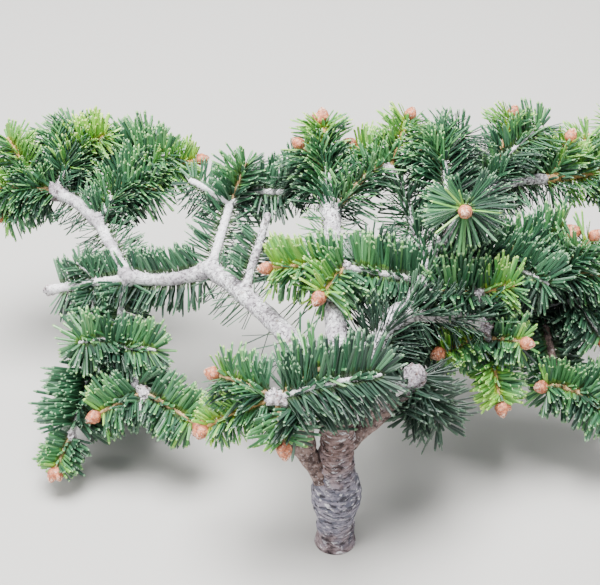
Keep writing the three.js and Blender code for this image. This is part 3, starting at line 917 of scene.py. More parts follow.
@dataclass(frozen=True)
class ShadedBark:
    """Bark of the lower limbs, darker as painted shade: brown and rough low down, paler and
    lichened higher up.
    """

    name: str = "shaded_bough_bark"
    brown: Colour = paint(138, 116, 110)
    dark: Colour = paint(72, 58, 56)
    fleck: Colour = paint(186, 172, 172)
    pale: Colour = paint(206, 200, 200)
    speck: Colour = paint(132, 122, 124)
    patches: Spots = Spots(3.5, 0.4, 0.62, detail=5, roughness=0.6)
    flecks: Spots = Spots(1.3, 0.54, 0.66, 0.6, roughness=0.6)
    turning_height: float = 78.0

    def build(self) -> bpy.types.Material:
        """Build the material.

        Returns:
            The material.
        """
        shader = Shader(self.name)
        low = shader.blend(shader.spots(self.patches), self.brown, self.dark)
        low = shader.blend(shader.spots(self.flecks), low, self.fleck)
        specks = shader.band(shader.cells(1.4), 0.42, 0.24)
        high = shader.blend(specks * 0.55, self.pale, self.speck)
        height = shader.axis() + shader.noise(6, 3) * 26 - 13
        lichened = shader.band(height, self.turning_height - 8, self.turning_height + 6)
        relief = shader.noise(1.4, 4, 0.6) - specks * 0.3
        return shader.finish(shader.blend(lichened, low, high), 0.78 + shader.noise(2, 2) * 0.15,
                             relief, 0.45, DULL)


@dataclass(frozen=True)
class KnobBark:
    """Grey scaly bark of a knob, pitted with dark scars where needles and buds have been."""

    name: str = "scarred_knob_bark"
    pale: Colour = paint(196, 189, 195)
    lilac: Colour = paint(134, 122, 131)
    brown: Colour = paint(128, 100, 88)
    scar: Colour = paint(64, 52, 52)
    scales: Spots = Spots(1.1, 0.42, 0.58, detail=4, roughness=0.65)
    patches: Spots = Spots(3.2, 0.54, 0.66, 0.7, detail=4)
    pits: Spots = Spots(1.7, 0.55, 0.65, roughness=0.6)

    def build(self) -> bpy.types.Material:
        """Build the material.

        Returns:
            The material.
        """
        shader = Shader(self.name)
        colour = shader.blend(shader.spots(self.scales), self.pale, self.lilac)
        colour = shader.blend(shader.spots(self.patches), colour, self.brown)
        pits = shader.spots(self.pits)
        colour = shader.blend(pits * 0.85, colour, self.scar)
        height = shader.noise(0.9, 4, 0.6) - pits * 0.8
        return shader.finish(colour, 0.84 - pits * 0.1, height, 0.6, DULL)


@dataclass(frozen=True)
class TrunkBark:
    """Wrinkled grey-brown, lilac and rusty bark, with painted shade in creases and flecks partly
    painted highlight.
    """

    name: str = "wrinkled_trunk_bark"
    brown: Colour = paint(104, 82, 78)
    pink: Colour = paint(156, 132, 130)
    slate: Colour = paint(98, 98, 112)
    lilac: Colour = paint(152, 146, 160)
    fleck: Colour = paint(240, 236, 242)
    crease_shade: Colour = paint(34, 27, 30)
    creases: Spots = Spots(2.8, 0.47, 0.37, detail=4, roughness=0.6, stretch=(0.7, 0.7, 1.9))
    flecks: Spots = Spots(2.3, 0.56, 0.66, detail=4, roughness=0.62, stretch=(0.7, 0.7, 1.6))
    turning_height: float = 46.0
    foot_height: float = 9.0

    def build(self) -> bpy.types.Material:
        """Build the material.

        Returns:
            The material.
        """
        shader = Shader(self.name)
        rings = shader.noise(4.0, 5, 0.65, (0.8, 0.8, 1.8))
        # Partly painted light and shade: the colour is lighter where the ring noise stands out, so
        # ridges are lighter than furrows.
        light = shader.band(rings, 0.42, 0.6)
        height = shader.axis() + shader.noise(8, 3) * 40 - 20
        browned = shader.band(height, self.turning_height - 9, self.turning_height + 9)
        browned = browned + shader.band(height, self.foot_height + 5, self.foot_height - 7) * 0.7
        creases, flecks = shader.spots(self.creases), shader.spots(self.flecks)
        colour = shader.blend(browned, shader.blend(light, self.slate, self.lilac),
                              shader.blend(light, self.brown, self.pink))
        # Painted shade: the creases are darkened where the relief sinks.
        colour = shader.blend(creases * 0.75, colour, self.crease_shade)
        # White flecks, partly pale flecks of the bark and partly painted highlight.
        colour = shader.blend(flecks * 0.85, colour, self.fleck)
        relief = rings + flecks * 0.3 - creases * 0.7
        return shader.finish(colour, 0.82 - flecks * 0.3, relief, 0.9,
                             {"Specular IOR Level": 0.35})


@dataclass(frozen=True)
class TwigBark:
    """Thin bark of a twig, with darker marks where needles have been shed."""

    name: str
    ground: Colour
    light: Colour
    mark: Colour

    def build(self) -> bpy.types.Material:
        """Build the material.

        Returns:
            The material.
        """
        shader = Shader(self.name)
        marks = shader.band(shader.cells(1.1), 0.32, 0.18)
        colour = shader.blend(shader.spots(Spots(1.8, 0.38, 0.62)), self.ground, self.light)
        colour = shader.blend(marks * 0.7, colour, self.mark)
        return shader.finish(colour, 0.68 + marks * 0.15, shader.noise(0.8, 3) - marks * 0.5, 0.25)


@dataclass(frozen=True)
class BudScales:
    """Thin salmon-brown scales, frosted with dry resin, with painted shade at their edges."""

    name: str = "bud_scales"
    salmon: Colour = paint(228, 144, 102)
    brown: Colour = paint(176, 96, 62)
    frosting: float = 0.6
    resin: Colour = paint(248, 228, 212)
    patches: Spots = Spots(2.0, 0.4, 0.62, detail=4)
    frost: Spots = Spots(1.0, 0.54, 0.66, detail=4, roughness=0.65)

    def build(self) -> bpy.types.Material:
        """Build the material.

        Returns:
            The material.
        """
        shader = Shader(self.name)
        frost = shader.spots(self.frost)
        colour = shader.blend(shader.spots(self.patches), self.salmon, self.brown)
        colour = shader.blend(frost * self.frosting, colour, self.resin)
        return shader.finish(colour, 0.5 - frost * 0.15, shader.noise(0.6, 3) + frost * 0.5, 0.2)


@dataclass(frozen=True)
class NeedleSkin:
    """Waxy skin of needles, in one plain colour that is dealt out needle by needle."""

    name: str
    colour: Colour
    roughness: float = 0.42
    coat: float = 0.2

    def build(self) -> bpy.types.Material:
        """Build the material."""
        return Shader(self.name).finish(self.colour, self.roughness, uniform={
            "Coat Weight": self.coat, "Coat Roughness": 0.3, "Specular IOR Level": 0.5})


TWIG_BARKS = {
    Age.OLD: TwigBark("old_shoot_bark", paint(214, 211, 212), paint(238, 236, 238),
                      paint(138, 126, 130)),
    Age.GREEN: TwigBark("young_shoot_bark", paint(160, 126, 82), paint(194, 168, 122),
                        paint(104, 88, 48)),
    Age.FRESH: TwigBark("new_shoot_bark", paint(190, 142, 84), paint(208, 172, 112),
                        paint(132, 116, 56)),
}
SHOOT_KNOB_BARK = KnobBark("scarred_shoot_knob", paint(228, 224, 227), paint(176, 164, 170))
BUD_FINISHES = (
    BudScales(),
    # Painted shade in the seams between the scales, and a brown band near the tip.
    BudScales("bud_brown_and_seam_shade", paint(186, 108, 76), paint(146, 78, 52), 0.4),
    BudScales("bud_resin", paint(242, 206, 184), paint(214, 160, 130)),
)


class NeedlePalette:
    """The needles' materials, in a fixed order, and where each colour stands in it.

    `shades`, `feet`, `undersides` and `tips` hold material numbers, one for each age.
    """

    def __init__(self) -> None:
        """Build every needle material once."""
        self.materials: list[bpy.types.Material] = []
        self.shades: list[int] = []
        self.feet: list[int] = []
        self.undersides: list[int] = []
        self.tips: list[int] = []
        for age in Age:
            look, name = LOOKS[age], f"needle_{age.value}"
            self.shades.append(len(self.materials))
            for number, colour in enumerate(look.shades):
                self.add(NeedleSkin(f"{name}_{number}", colour))
            self.feet.append(self.add(NeedleSkin(f"{name}_foot", look.foot)))
            self.undersides.append(self.add(NeedleSkin(f"{name}_underside", look.underside,
                                                       0.6, 0.0)))
            self.tips.append(self.add(NeedleSkin(f"{name}_tip", look.tip, 0.5, 0.1)))

    def add(self, skin: NeedleSkin) -> int:
        """Build one skin, keep it and give its number."""
        self.materials.append(skin.build())
        return len(self.materials) - 1


def tube_faces(rings: int, sides: int) -> np.ndarray:
    """Join rings of points into a closed skin.

    The points are the rings in order, then the point at the root end, then the tip's.

    Args:
        rings: How many rings there are.
        sides: How many points a ring has.

    Returns:
        The faces, as rows of four point numbers.
    """
    step, side = np.meshgrid(np.arange(rings - 1), np.arange(sides), indexing="ij")
    following = (side + 1) % sides
    walls = np.stack([step * sides + side, step * sides + following,
                      (step + 1) * sides + following, (step + 1) * sides + side],
                     axis=-1).reshape(-1, 4)
    side = np.arange(sides)
    following = (side + 1) % sides
    root, tip = np.full(sides, rings * sides), np.full(sides, rings * sides + 1)
    last = (rings - 1) * sides
    heel = np.stack([root, following, side, side], axis=-1)
    nose = np.stack([tip, last + side, last + following, last + following], axis=-1)
    return np.concatenate([walls, heel, nose])


@dataclass
class MeshSketch:
    """Points and faces of one piece, gathered until it becomes an object."""

    points: list[np.ndarray] = field(default_factory=list)
    faces: list[np.ndarray] = field(default_factory=list)
    paints: list[np.ndarray] = field(default_factory=list)
    size: int = 0

    def add(self, points: np.ndarray, faces: np.ndarray, paints: np.ndarray | int = 0) -> None:
        """Add a patch.

        Args:
            points: Its points in millimetres, one row each.
            faces: Its four-cornered faces as rows of point numbers. A face whose last two
                corners are the same is a triangle.
            paints: The material number of each face, or of all of them.
        """
        self.points.append(points)
        self.faces.append(faces + self.size)
        self.paints.append(np.broadcast_to(paints, len(faces)))
        self.size += len(points)

    def add_tube(self, sides: int, *parts: np.ndarray, paints: np.ndarray | int = 0) -> None:
        """Add a closed skin: rings in order, then the point at the root end and the tip's."""
        points = np.concatenate([part.reshape(-1, 3) for part in parts])
        self.add(points, tube_faces((len(points) - 2) // sides, sides), paints)

    def build(self, name: str, materials: list[bpy.types.Material]) -> bpy.types.Object:
        """Make the object, with smooth shading.

        Args:
            name: The piece's name.
            materials: Its materials in order.

        Returns:
            The object, linked to the scene.
        """
        mesh = bpy.data.meshes.new(name)
        points = np.concatenate(self.points) * METRE
        rows = [tuple(row[:3]) if row[2] == row[3] else tuple(row)
                for row in np.concatenate(self.faces).tolist()]
        mesh.from_pydata(points.tolist(), [], rows)
        mesh.polygons.foreach_set("material_index", np.concatenate(self.paints).astype(np.int32))
        mesh.polygons.foreach_set("use_smooth", np.ones(len(rows), bool))
        for material in materials:
            mesh.materials.append(material)
        mesh.validate(clean_customdata=False)
        mesh.update()
        piece = bpy.data.objects.new(name, mesh)
        bpy.context.scene.collection.objects.link(piece)
        LOG.info("%s: %d triangles", name, sum(len(row) - 2 for row in rows))
        return piece


def taper(stem: Limb | Twig, share: np.ndarray | float) -> np.ndarray | float:
    """Give the radius of a limb or twig at shares of the way along, in millimetres."""
    return stem.root + (stem.tip - stem.root) * share


def hump(place: np.ndarray, middle: float, reach: float) -> np.ndarray:
    """Give a smooth hump, which is 1 at its middle and fades over its reach."""
    return np.exp(-((place - middle) / reach) ** 2)


def dome(rim: np.ndarray, centre: np.ndarray, ahead: np.ndarray,
         turns: tuple[float, ...]) -> np.ndarray:
    """Close a rim with rings that rise over its centre.

    Args:
        rim: The rim's points.
        centre: The rim's centre.
        ahead: The way from the centre to the top.
        turns: How far up the dome each ring is, in degrees from the rim.

    Returns:
        The points of the rings in order, and the top last.
    """
    turn = np.radians(turns)[:, None, None]
    rings = centre + (rim - centre) * np.cos(turn) + ahead * np.sin(turn)
    return np.concatenate([rings.reshape(-1, 3), [centre + ahead]])


@dataclass
class BarkedLimb:
    """The skin of one limb: its taper, its collar, the swellings at its forks, its relief.

    Where the limb's knob is at least `own_bark_from`, the knobbly end has bark of its own.
    """

    limb: Limb
    path: Path
    forks: list[float]
    bearer_radius: float
    sides_per_millimetre: float = 7.0
    fewest_sides: int = 14
    ring_pitch: float = 1.0
    fewest_rings: int = 6
    collar: float = 0.4
    collar_reach: float = 0.9
    fork_swelling: float = 0.14
    fork_reach: float = 1.7
    knob_swelling: float = 0.6
    knob_reach: float = 1.6
    lumps_reach: float = 1.5
    own_bark_from: float = 0.9
    dome_turns: tuple[float, ...] = (15, 30, 45, 60, 75)
    dome_height: float = 0.8
    fine_layers: Layers = ((0.16, 5.5, 3.1), (0.07, 1.7, 7.7), (0.035, 0.8, 1.3))
    lump_layers: Layers = ((2.4, 3.4, 4.3), (1.5, 1.4, 8.1))
    scar_pitch: float = 2.6
    scar_size: float = 0.85
    scar_height: float = 0.16

    def radii(self, share: np.ndarray) -> np.ndarray:
        """Give the limb's radius with its collar, its forks' swellings and its knob.

        Args:
            share: Places along the limb.

        Returns:
            The radius at each, in millimetres.
        """
        limb = self.limb
        distance = share * limb.length
        beyond = np.maximum(distance - self.bearer_radius, 0)
        collar = np.exp(-beyond / (self.collar_reach * limb.root))
        radius = taper(limb, share) + self.collar * limb.root * collar
        for fork in self.forks:
            swelling = hump(distance, fork * limb.length, self.fork_reach * limb.tip)
            radius = radius + self.fork_swelling * limb.tip * swelling
        knob = hump(distance, limb.length, self.knob_reach * limb.tip)
        return radius + self.knob_swelling * limb.knob * knob

    def draw(self, sketch: MeshSketch) -> None:
        """Add the limb's skin to a sketch, with a dome over its end.

        Args:
            sketch: Where the skin goes.
        """
        limb = self.limb
        sides = max(self.fewest_sides, int(self.sides_per_millimetre * limb.root))
        count = max(self.fewest_rings, int(limb.length / self.ring_pitch))
        share = np.linspace(0, 1, count + 1)
        radius = self.radii(share)
        turns = wheel(sides)
        outward = spokes(*self.path.square(share), turns)
        centre = self.path.point(share)
        skin = centre[:, None] + outward * radius[:, None, None]
        knobbly = hump((share - 1) * limb.length, 0, self.lumps_reach * limb.tip)
        knobbly = knobbly * min(1.0, limb.knob)
        relief = self.relief(skin, radius[:, None], knobbly[:, None])
        relief += self.scars(share, turns, radius)
        ahead = self.path.along(1.0) * radius[-1] * self.dome_height
        end = dome(skin[-1], centre[-1], ahead, self.dome_turns)
        lumps = self.relief(end, radius[-1], knobbly[-1])
        end = end + unit(end - centre[-1]) * lumps[:, None]
        ring_number = np.arange(len(skin) + len(self.dome_turns))
        on_knob = (ring_number >= np.sum(knobbly < 0.3)) & (limb.knob >= self.own_bark_from)
        paints = np.repeat(np.append(on_knob[:-1], [False, on_knob[-1]]), sides).astype(int)
        sketch.add_tube(sides, skin + outward * relief[..., None], end[:-1], centre[0], end[-1],
                        paints=paints)

    def relief(self, skin: np.ndarray, radius: np.ndarray | float,
               knobbly: np.ndarray | float) -> np.ndarray:
        """Give how far the bark stands out: finely everywhere, and in lumps where knobbly."""
        fine = layered(skin, self.fine_layers) * radius ** 0.6
        return fine + knobbly * layered(skin, self.lump_layers)

    def scars(self, share: np.ndarray, turns: np.ndarray, radius: np.ndarray) -> np.ndarray:
        """Give the height of the small round scars that shed needles have left.

        Args:
            share: The rings' places along the limb.
            turns: The points' places round a ring, in radians.
            radius: The limb's radius at each ring.

        Returns:
            A height for each point, in millimetres.
        """
        size = self.scar_size
        distance = share * self.limb.length
        relief = np.zeros((len(share), len(turns)))
        for number in range(int(self.limb.length / self.scar_pitch)):
            place = (number + 0.5) * self.scar_pitch
            near = np.abs(distance - place) < 2 * size
            aside = half_turned(turns - number * GOLDEN_ANGLE)
            apart = ((distance[near, None] - place) ** 2
                     + (aside[None, :] * radius[near, None]) ** 2)
            relief[near] += self.scar_height * np.exp(-apart / (0.5 * size) ** 2)
        return relief


@dataclass
class BarkedTrunk:
    """The skin of the trunk: its flare, swelling, ring wrinkles and knots."""

    path: Path
    radius: float = 7.9
    flare: float = 1.9
    flare_height: float = 6.5
    swelling: float = 3.8
    swelling_middle: float = 28.0
    swelling_spread: float = 10.0
    sides: int = 84
    ring_pitch: float = 0.7
    wrinkle_pitch: float = 5.6
    top_turns: tuple[float, ...] = (25, 50, 72)

    def radii(self, height: np.ndarray) -> np.ndarray:
        """Give the trunk's radius at heights above the ground, in millimetres."""
        return (self.radius + self.flare * np.exp(-height / self.flare_height)
                + self.swelling * hump(height, self.swelling_middle, self.swelling_spread))

    def draw(self, sketch: MeshSketch) -> None:
        """Add the trunk's skin to a sketch, with level rings from a flat cut.

        Args:
            sketch: Where the skin goes.
        """
        share = np.linspace(0, 1, int(self.path.end[2] / self.ring_pitch) + 1)
        centre = self.path.point(share)
        turns = wheel(self.sides)
        outward = np.stack([np.cos(turns), np.sin(turns), np.zeros(self.sides)], axis=-1)
        radius = self.radii(centre[:, 2])
        skin = centre[:, None] + outward * radius[:, None, None]
        skin = skin + outward * self.relief(skin, centre[:, 2])[..., None]
        skin[..., 2] = np.maximum(skin[..., 2], 0)
        top = dome(skin[-1], centre[-1], UP * radius[-1] * 0.5, self.top_turns)
        sketch.add_tube(self.sides, skin, top[:-1], centre[0], top[-1])

    def relief(self, skin: np.ndarray, height: np.ndarray) -> np.ndarray:
        """Give how far the bark stands out, in ring wrinkles higher up and in knots.

        Args:
            skin: Places on the smooth trunk, in millimetres.
            height: Each ring's height above the ground.

        Returns:
            A height for each place, in millimetres, which fades towards the cut.
        """
        level = skin[..., 2]
        streaks = skin * np.array([0.35, 0.35, 1.0])
        wave = level * 2 * math.pi / self.wrinkle_pitch + 4.2 * rough(skin, 12, 5.5)
        wrinkled = 0.12 + 0.4 * np.clip((level - 26) / 22, 0, 1)
        relief = (wrinkled * np.sin(wave) * (0.6 + 0.8 * rough(skin, 9, 2.2))
                  + 1.0 * rough(skin, 8, 9.1) + 0.45 * rough(skin, 3.4, 1.9)
                  + 0.35 * rough(streaks, 1.5, 4.4) + 0.25 * rough(skin, 1.3, 6.6))
        return np.clip(relief, -1.3, 1.1) * np.minimum(1, height / 2 + 0.15)[:, None]


@dataclass
class TwigSkin:
    """The skin of a twig, with a low cushion under each needle."""

    sides: int = 10
    ring_pitch: float = 0.9
    fewest_rings: int = 4
    cushion: float = 0.16

    def draw(self, sketch: MeshSketch, twig: Twig, paint_number: int) -> None:
        """Add one twig's skin to a sketch.

        Args:
            sketch: Where the skin goes.
            twig: The twig.
            paint_number: The number of its material.
        """
        count = max(self.fewest_rings, int(twig.length / self.ring_pitch))
        share = np.linspace(0, 1, count + 1)
        radius = taper(twig, share) * twig.stoutness
        turns = wheel(self.sides)
        outward = spokes(*twig.path.square(share), turns)
        skin = twig.path.point(share)[:, None] + outward * radius[:, None, None]
        cushions = self.cushion * np.sin(turns * 3 + share[:, None] * twig.length * 1.9)
        relief = cushions * twig.root + 0.25 * rough(skin, 1.6, 2.9)
        skin = skin + outward * relief[..., None]
        end, ahead = twig.path.end, twig.path.along(1.0) * twig.tip
        shoulder = end + (skin[-1] - end) * 0.65 + ahead * 0.55
        sketch.add_tube(self.sides, skin, shoulder, twig.path.start, end + ahead * 0.8,
                        paints=paint_number)


@dataclass
class BudForm:
    """An egg-shaped bud of overlapping scales.

    Its face numbers are 0 on a scale, 1 in a seam, where shade is painted, and one more near its
    tip.
    """

    sides: int = 20
    rings: int = 18
    scales: int = 26
    scale_length: float = 0.3
    scale_width: float = 0.75

    def draw(self, sketch: MeshSketch, place: np.ndarray, aim: np.ndarray, size: float,
             turn: float) -> None:
        """Add one bud to a sketch.

        Args:
            sketch: Where the bud goes.
            place: The middle of its foot, in millimetres.
            aim: The way it points.
            size: How many times as large as usual it is.
            turn: How far it is turned about its length, in radians.
        """
        length, radius = BUD_LENGTH * size, BUD_RADIUS * size
        share = (np.arange(self.rings) + 0.5) / self.rings
        profile = np.sin(math.pi * share ** 0.78) ** 0.62 * (1 - 0.22 * share)
        height = self.scale_heights(share, wheel(self.sides))
        across = unit(np.cross(AWAY if abs(aim[2]) > STEEP else UP, aim))
        outward = spokes(across, np.cross(aim, across), wheel(self.sides) + turn)
        reach = radius * (profile[:, None] + 0.2 * height * profile[:, None] ** 0.5)
        skin = place + aim * (share * length)[:, None, None] + outward * reach[..., None]
        # Painted shade: faces low between the scales take the darker finish.
        seams = (height[:-1] < 0.6).reshape(-1).astype(int)
        seams[-4 * self.sides:] += 1
        sketch.add_tube(self.sides, skin, place, place + aim * length,
                        paints=np.concatenate([seams, np.repeat([1, 2], self.sides)]))

    def scale_heights(self, share: np.ndarray, turns: np.ndarray) -> np.ndarray:
        """Give how far the scales lift the bud's skin, from 0 to 1.

        Args:
            share: The rings' places along the bud.
            turns: The points' places round a ring, in radians.

        Returns:
            A height for each point.
        """
        height = np.zeros((len(share), len(turns)))
        for number in range(self.scales):
            foot = number / self.scales * 0.86
            aside = half_turned(turns - number * GOLDEN_ANGLE)
            ahead = (share[:, None] - foot) / self.scale_length
            width = self.scale_width * np.sqrt(np.clip(1 - ahead, 0, 1))
            inside = (ahead > 0) & (ahead < 1) & (np.abs(aside) < width)
            lift = (0.35 + 0.65 * ahead) * (1 - (aside / 1.1) ** 2)
            height = np.where(inside, np.maximum(height, lift), height)
        return height


@dataclass
class KnobForm:
    """A scaly knob at the tip of a stem, where one year's shoots leave the last year's."""

    sides: int = 26
    rings: int = 22
    stretch: float = 1.25
    fullness: float = 0.92
    lump_layers: Layers = ((0.36, 2.4, 6.2), (0.26, 1.2, 3.3))

    def draw(self, sketch: MeshSketch, twig: Twig, paint_number: int) -> None:
        """Add the knob of one stem to a sketch.

        Args:
            sketch: Where the knob goes.
            twig: The stem.
            paint_number: The number of its material.
        """
        turn = ((np.arange(self.rings) + 0.5) * math.pi / self.rings)[:, None, None]
        end, along = twig.path.end, twig.path.along(1.0)
        outward = spokes(*twig.path.square(1.0), wheel(self.sides))
        skin = (outward * np.sin(turn) - along * (self.stretch * np.cos(turn))) * twig.knob
        lumps = layered(skin + end, self.lump_layers)
        reach = along * self.stretch * twig.knob * self.fullness
        sketch.add_tube(self.sides, skin * (self.fullness + lumps)[..., None] + end,
                        end - reach, end + reach, paints=paint_number)


@dataclass(frozen=True)
class NeedleForm:
    """The shape of a needle: a narrow flat blade, grooved above and keeled below.

    Sections stand at shares of the needle's length. `widths` tells how wide each is, and
    `across` and `above` where the section's corners are, in half widths of the needle. The
    blunt end is rounded off at its two edges.
    """

    half_width: float = 0.74
    stations: tuple[float, ...] = (0.0, 0.2, 0.925, 1.0)
    widths: tuple[float, ...] = (0.45, 0.96, 0.92, 0.44)
    across: tuple[float, ...] = (-1.0, -0.52, 0.0, 0.52, 1.0, 0.0)
    above: tuple[float, ...] = (0.0, 0.24, 0.07, 0.24, 0.0, -0.26)
    edges: tuple[int, int] = (0, 4)
    edge_end: float = 0.985
    upper_faces: int = 4
    width_spread: float = 0.07
    bend: float = 0.7
    bend_spread: float = 0.5
    sway_spread: float = 0.35

    def points(self, root: np.ndarray, axes: tuple[np.ndarray, ...], length: np.ndarray,
               dice: np.random.Generator) -> np.ndarray:
        """Give the points of many needles, each of its own width, bend and sway.

        Args:
            root: Where each needle starts, in millimetres.
            axes: Where each points, where its side is and where it faces.
            length: How long each is.
            dice: The draws for the widths, bends and sways.

        Returns:
            The points by needle, section and corner.
        """
        aim, sideways, facing = (axis[:, None, None] for axis in axes)
        count = len(root)
        width = self.half_width * dice.normal(1, self.width_spread, count)[:, None, None]
        bend = dice.normal(self.bend, self.bend_spread, count)[:, None, None]
        sway = dice.normal(0, self.sway_spread, count)[:, None, None]
        reach = np.tile(np.array(self.stations)[:, None], (1, len(self.across)))
        reach[-1, self.edges] = self.edge_end
        side = np.array(self.widths)[:, None] * np.array(self.across)
        side = side * width + reach ** 2 * sway
        lift = np.array(self.above) * width + reach ** 2 * bend
        return (root[:, None, None] + aim * (reach * length[:, None, None])[..., None]
                + sideways * side[..., None] + facing * lift[..., None])

    def faces(self) -> np.ndarray:
        """Give the faces of one needle: its sides, two at its foot and two at its end.

        Returns:
            The faces, as rows of four point numbers.
        """
        corners = len(self.across)
        last = (len(self.stations) - 1) * corners
        walls = tube_faces(len(self.stations), corners)[:last]
        heel = np.array([[0, 5, 4, 3], [0, 3, 2, 1]])
        nose = np.array([[0, 1, 2, 5], [2, 3, 4, 5]]) + last
        return np.concatenate([walls, heel, nose])

    def paints(self, shade: np.ndarray, foot: np.ndarray, under: np.ndarray,
               tip: np.ndarray) -> np.ndarray:
        """Give each face of each needle its material.

        Args:
            shade: Each needle's material number for its upper side.
            foot: The number for the upper side of its foot.
            under: The number for its underside.
            tip: The number for the upper side of its tip, and for its end.

        Returns:
            One row of material numbers for each needle.
        """
        corners, upper = len(self.across), self.upper_faces
        last = corners * (len(self.stations) - 2)
        paints = np.repeat(shade[:, None], len(self.faces()), axis=1)
        paints[:, :upper] = foot[:, None]
        for first in range(0, last + corners, corners):
            paints[:, first + upper:first + corners] = under[:, None]
        paints[:, last:last + upper] = tip[:, None]
        paints[:, -2:] = tip[:, None]
        return paints


@dataclass
class NeedleGrower:
    """Grows needles on twigs and limbs, and draws them all as one piece.

    A spread is a standard deviation. A batch of needles is their roots, aims, facings,
    lengths, shades and ages.
    """

    palette: NeedlePalette
    dice: np.random.Generator
    per_millimetre: float = 7.0
    wide_parting: float = 50.0
    thinned_when_wide: float = 0.6
    reach_below_bud: float = 0.97
    knob_clearance: float = 6.0
    place_spread: float = 0.004
    turn_spread: float = 0.22
    crowding: float = 1.3
    usual_closing: float = 44.0
    lying_per_millimetre: float = 0.5
    lying_length: float = 0.42
    lying_lean: float = 38.0
    comb_turns: tuple[float, float] = (108, -84)
    comb_half_angle: float = 38.0
    loose_half_angle: float = 100.0
    lean: float = 13.0
    lean_above: float = 12.0
    lean_spread: float = 7.0
    upturn: float = 0.05
    aim_spread: float = 0.045
    shorter_above: float = 0.26
    shorter_at_tip: float = 0.36
    length_spread: float = 0.08
    facing_spread: float = 0.14
    sunk_root: float = 0.9
    older_from_length: float = 16.0
    # Odds that a needle below its twig is painted one age darker, then a second, as painted shade.
    painted_shade_below: tuple[float, float] = (0.55, 0.25)
    younger_from: float = 0.86
    shade_odds: tuple[float, ...] = (0.4, 0.3, 0.18, 0.12)
    lowest_tip: float = 0.8
    batches: list[tuple[np.ndarray, ...]] = field(default_factory=list)

    def clothe(self, twig: Twig) -> None:
        """Grow needles round a twig in close order, parted along its lit side.

        Unless the parting is wide, a few short needles lie forward in it.

        Args:
            twig: The twig.
        """
        dice, shoot, mass = self.dice, twig.shoot, twig.mass
        wide = twig.parting > self.wide_parting
        thinning = mass.fullness * shoot.fullness * (self.thinned_when_wide if wide else 1.0)
        clothed = twig.length * (1 - shoot.bare)
        count = int(clothed * self.per_millimetre * thinning)
        reach = self.reach_below_bud if twig.buds else 1.0
        if twig.knob:
            reach = max(0.3, 1 - self.knob_clearance / twig.length)
        share = shoot.bare + (reach - shoot.bare) * ((np.arange(count) + 0.5) / count)
        share = np.clip(share + dice.normal(0, self.place_spread, count), 0.02, 1.0)
        turn = np.arange(count) * GOLDEN_ANGLE + dice.normal(0, self.turn_spread, count)
        turn, gap = half_turned(turn), math.radians(twig.parting)
        turned = (np.abs(turn) / math.pi) ** self.crowding
        turn = np.sign(turn) * (gap + (math.pi - gap) * turned)
        closing = mass.closing if twig.buds else self.usual_closing
        length = LOOKS[shoot.age].length * (mass.needle * shoot.needle)
        self.stand(twig.path, share, turn, taper(twig, share), length, shoot.age,
                   0.0 if twig.is_stem else closing, heart=twig.buds > 0, shade=shoot.shade)
        if wide:
            return
        count = int(clothed * self.lying_per_millimetre)
        share = shoot.bare + (min(reach, 0.9) - shoot.bare) * dice.random(count)
        turn = gap * dice.uniform(-1.1, 1.1, count)
        self.stand(twig.path, share, turn, taper(twig, share), length * self.lying_length,
                   shoot.age, lying=self.lying_lean)

    def row(self, row: NeedleRow, path: Path, limb: Limb) -> None:
        """Grow the needles of a row on a bare limb.

        Args:
            row: The row.
            path: The limb's path.
            limb: The limb.
        """
        half_angle = self.comb_half_angle if row.parted else self.loose_half_angle
        for count, middle in zip((row.front, row.back), self.comb_turns):
            place = (np.arange(count) + self.dice.random(count)) / count
            share = row.begin + (row.end - row.begin) * place
            turn = np.radians(middle + half_angle * self.dice.uniform(-1, 1, count))
            self.stand(path, share, turn, taper(limb, share), row.length, row.age)

    def stand(self, path: Path, share: np.ndarray, turn: np.ndarray, radius: np.ndarray,
              length: float, age: Age, closing: float = 0.0, lying: float = 0.0,
              heart: bool = False, shade: float = 0.0) -> None:
        """Stand needles on a path.

        Args:
            path: The path that bears them.
            share: Their places along it.
            turn: Their places round it, in radians from its lit side towards its front.
            radius: How far from the path they start, in millimetres.
            length: Their usual length in millimetres.
            age: Their age.
            closing: How many degrees those at the tip lean further forward.
            lying: How many degrees all of them lean further forward.
            heart: Whether those at the tip are younger, round a bud.
            shade: The share of the needles given the darker colours of those one age older, as
                painted shade.
        """
        dice, count = self.dice, len(share)
        front, lit = path.lit(share)
        along = path.along(share)
        outward = front * np.sin(turn)[:, None] + lit * np.cos(turn)[:, None]
        over = np.clip(np.cos(turn), 0, 1)
        nearing = np.clip((share - 0.8) / 0.2, 0, 1) ** 1.6
        lean = np.radians(self.lean + self.lean_above * over + closing * nearing + lying
                          + dice.normal(0, self.lean_spread, count))
        aim = outward * np.cos(lean)[:, None] + along * np.sin(lean)[:, None]
        aim = unit(aim + UP * self.upturn + dice.normal(0, self.aim_spread, (count, 3)))
        lengths = (length * (1 - self.shorter_above * over) * (1 - self.shorter_at_tip * nearing)
                   * dice.normal(1, self.length_spread, count))
        facing = along * 0.5 + lit * 0.7 + UP * 0.4
        facing = unit(facing + dice.normal(0, self.facing_spread, (count, 3)))
        facing = unit(facing - aim * np.sum(facing * aim, axis=1, keepdims=True))
        root = path.point(share) + outward * (radius * self.sunk_root)[:, None]
        has_older = path.length() > self.older_from_length
        ages = self.ages(share, np.sin(turn) > 0.25, age, has_older, heart, shade)
        shades = (np.array(self.palette.shades)[ages]
                  + dice.choice(len(self.shade_odds), count, p=self.shade_odds))
        self.batches.append((root, aim, facing, lengths, shades, ages))

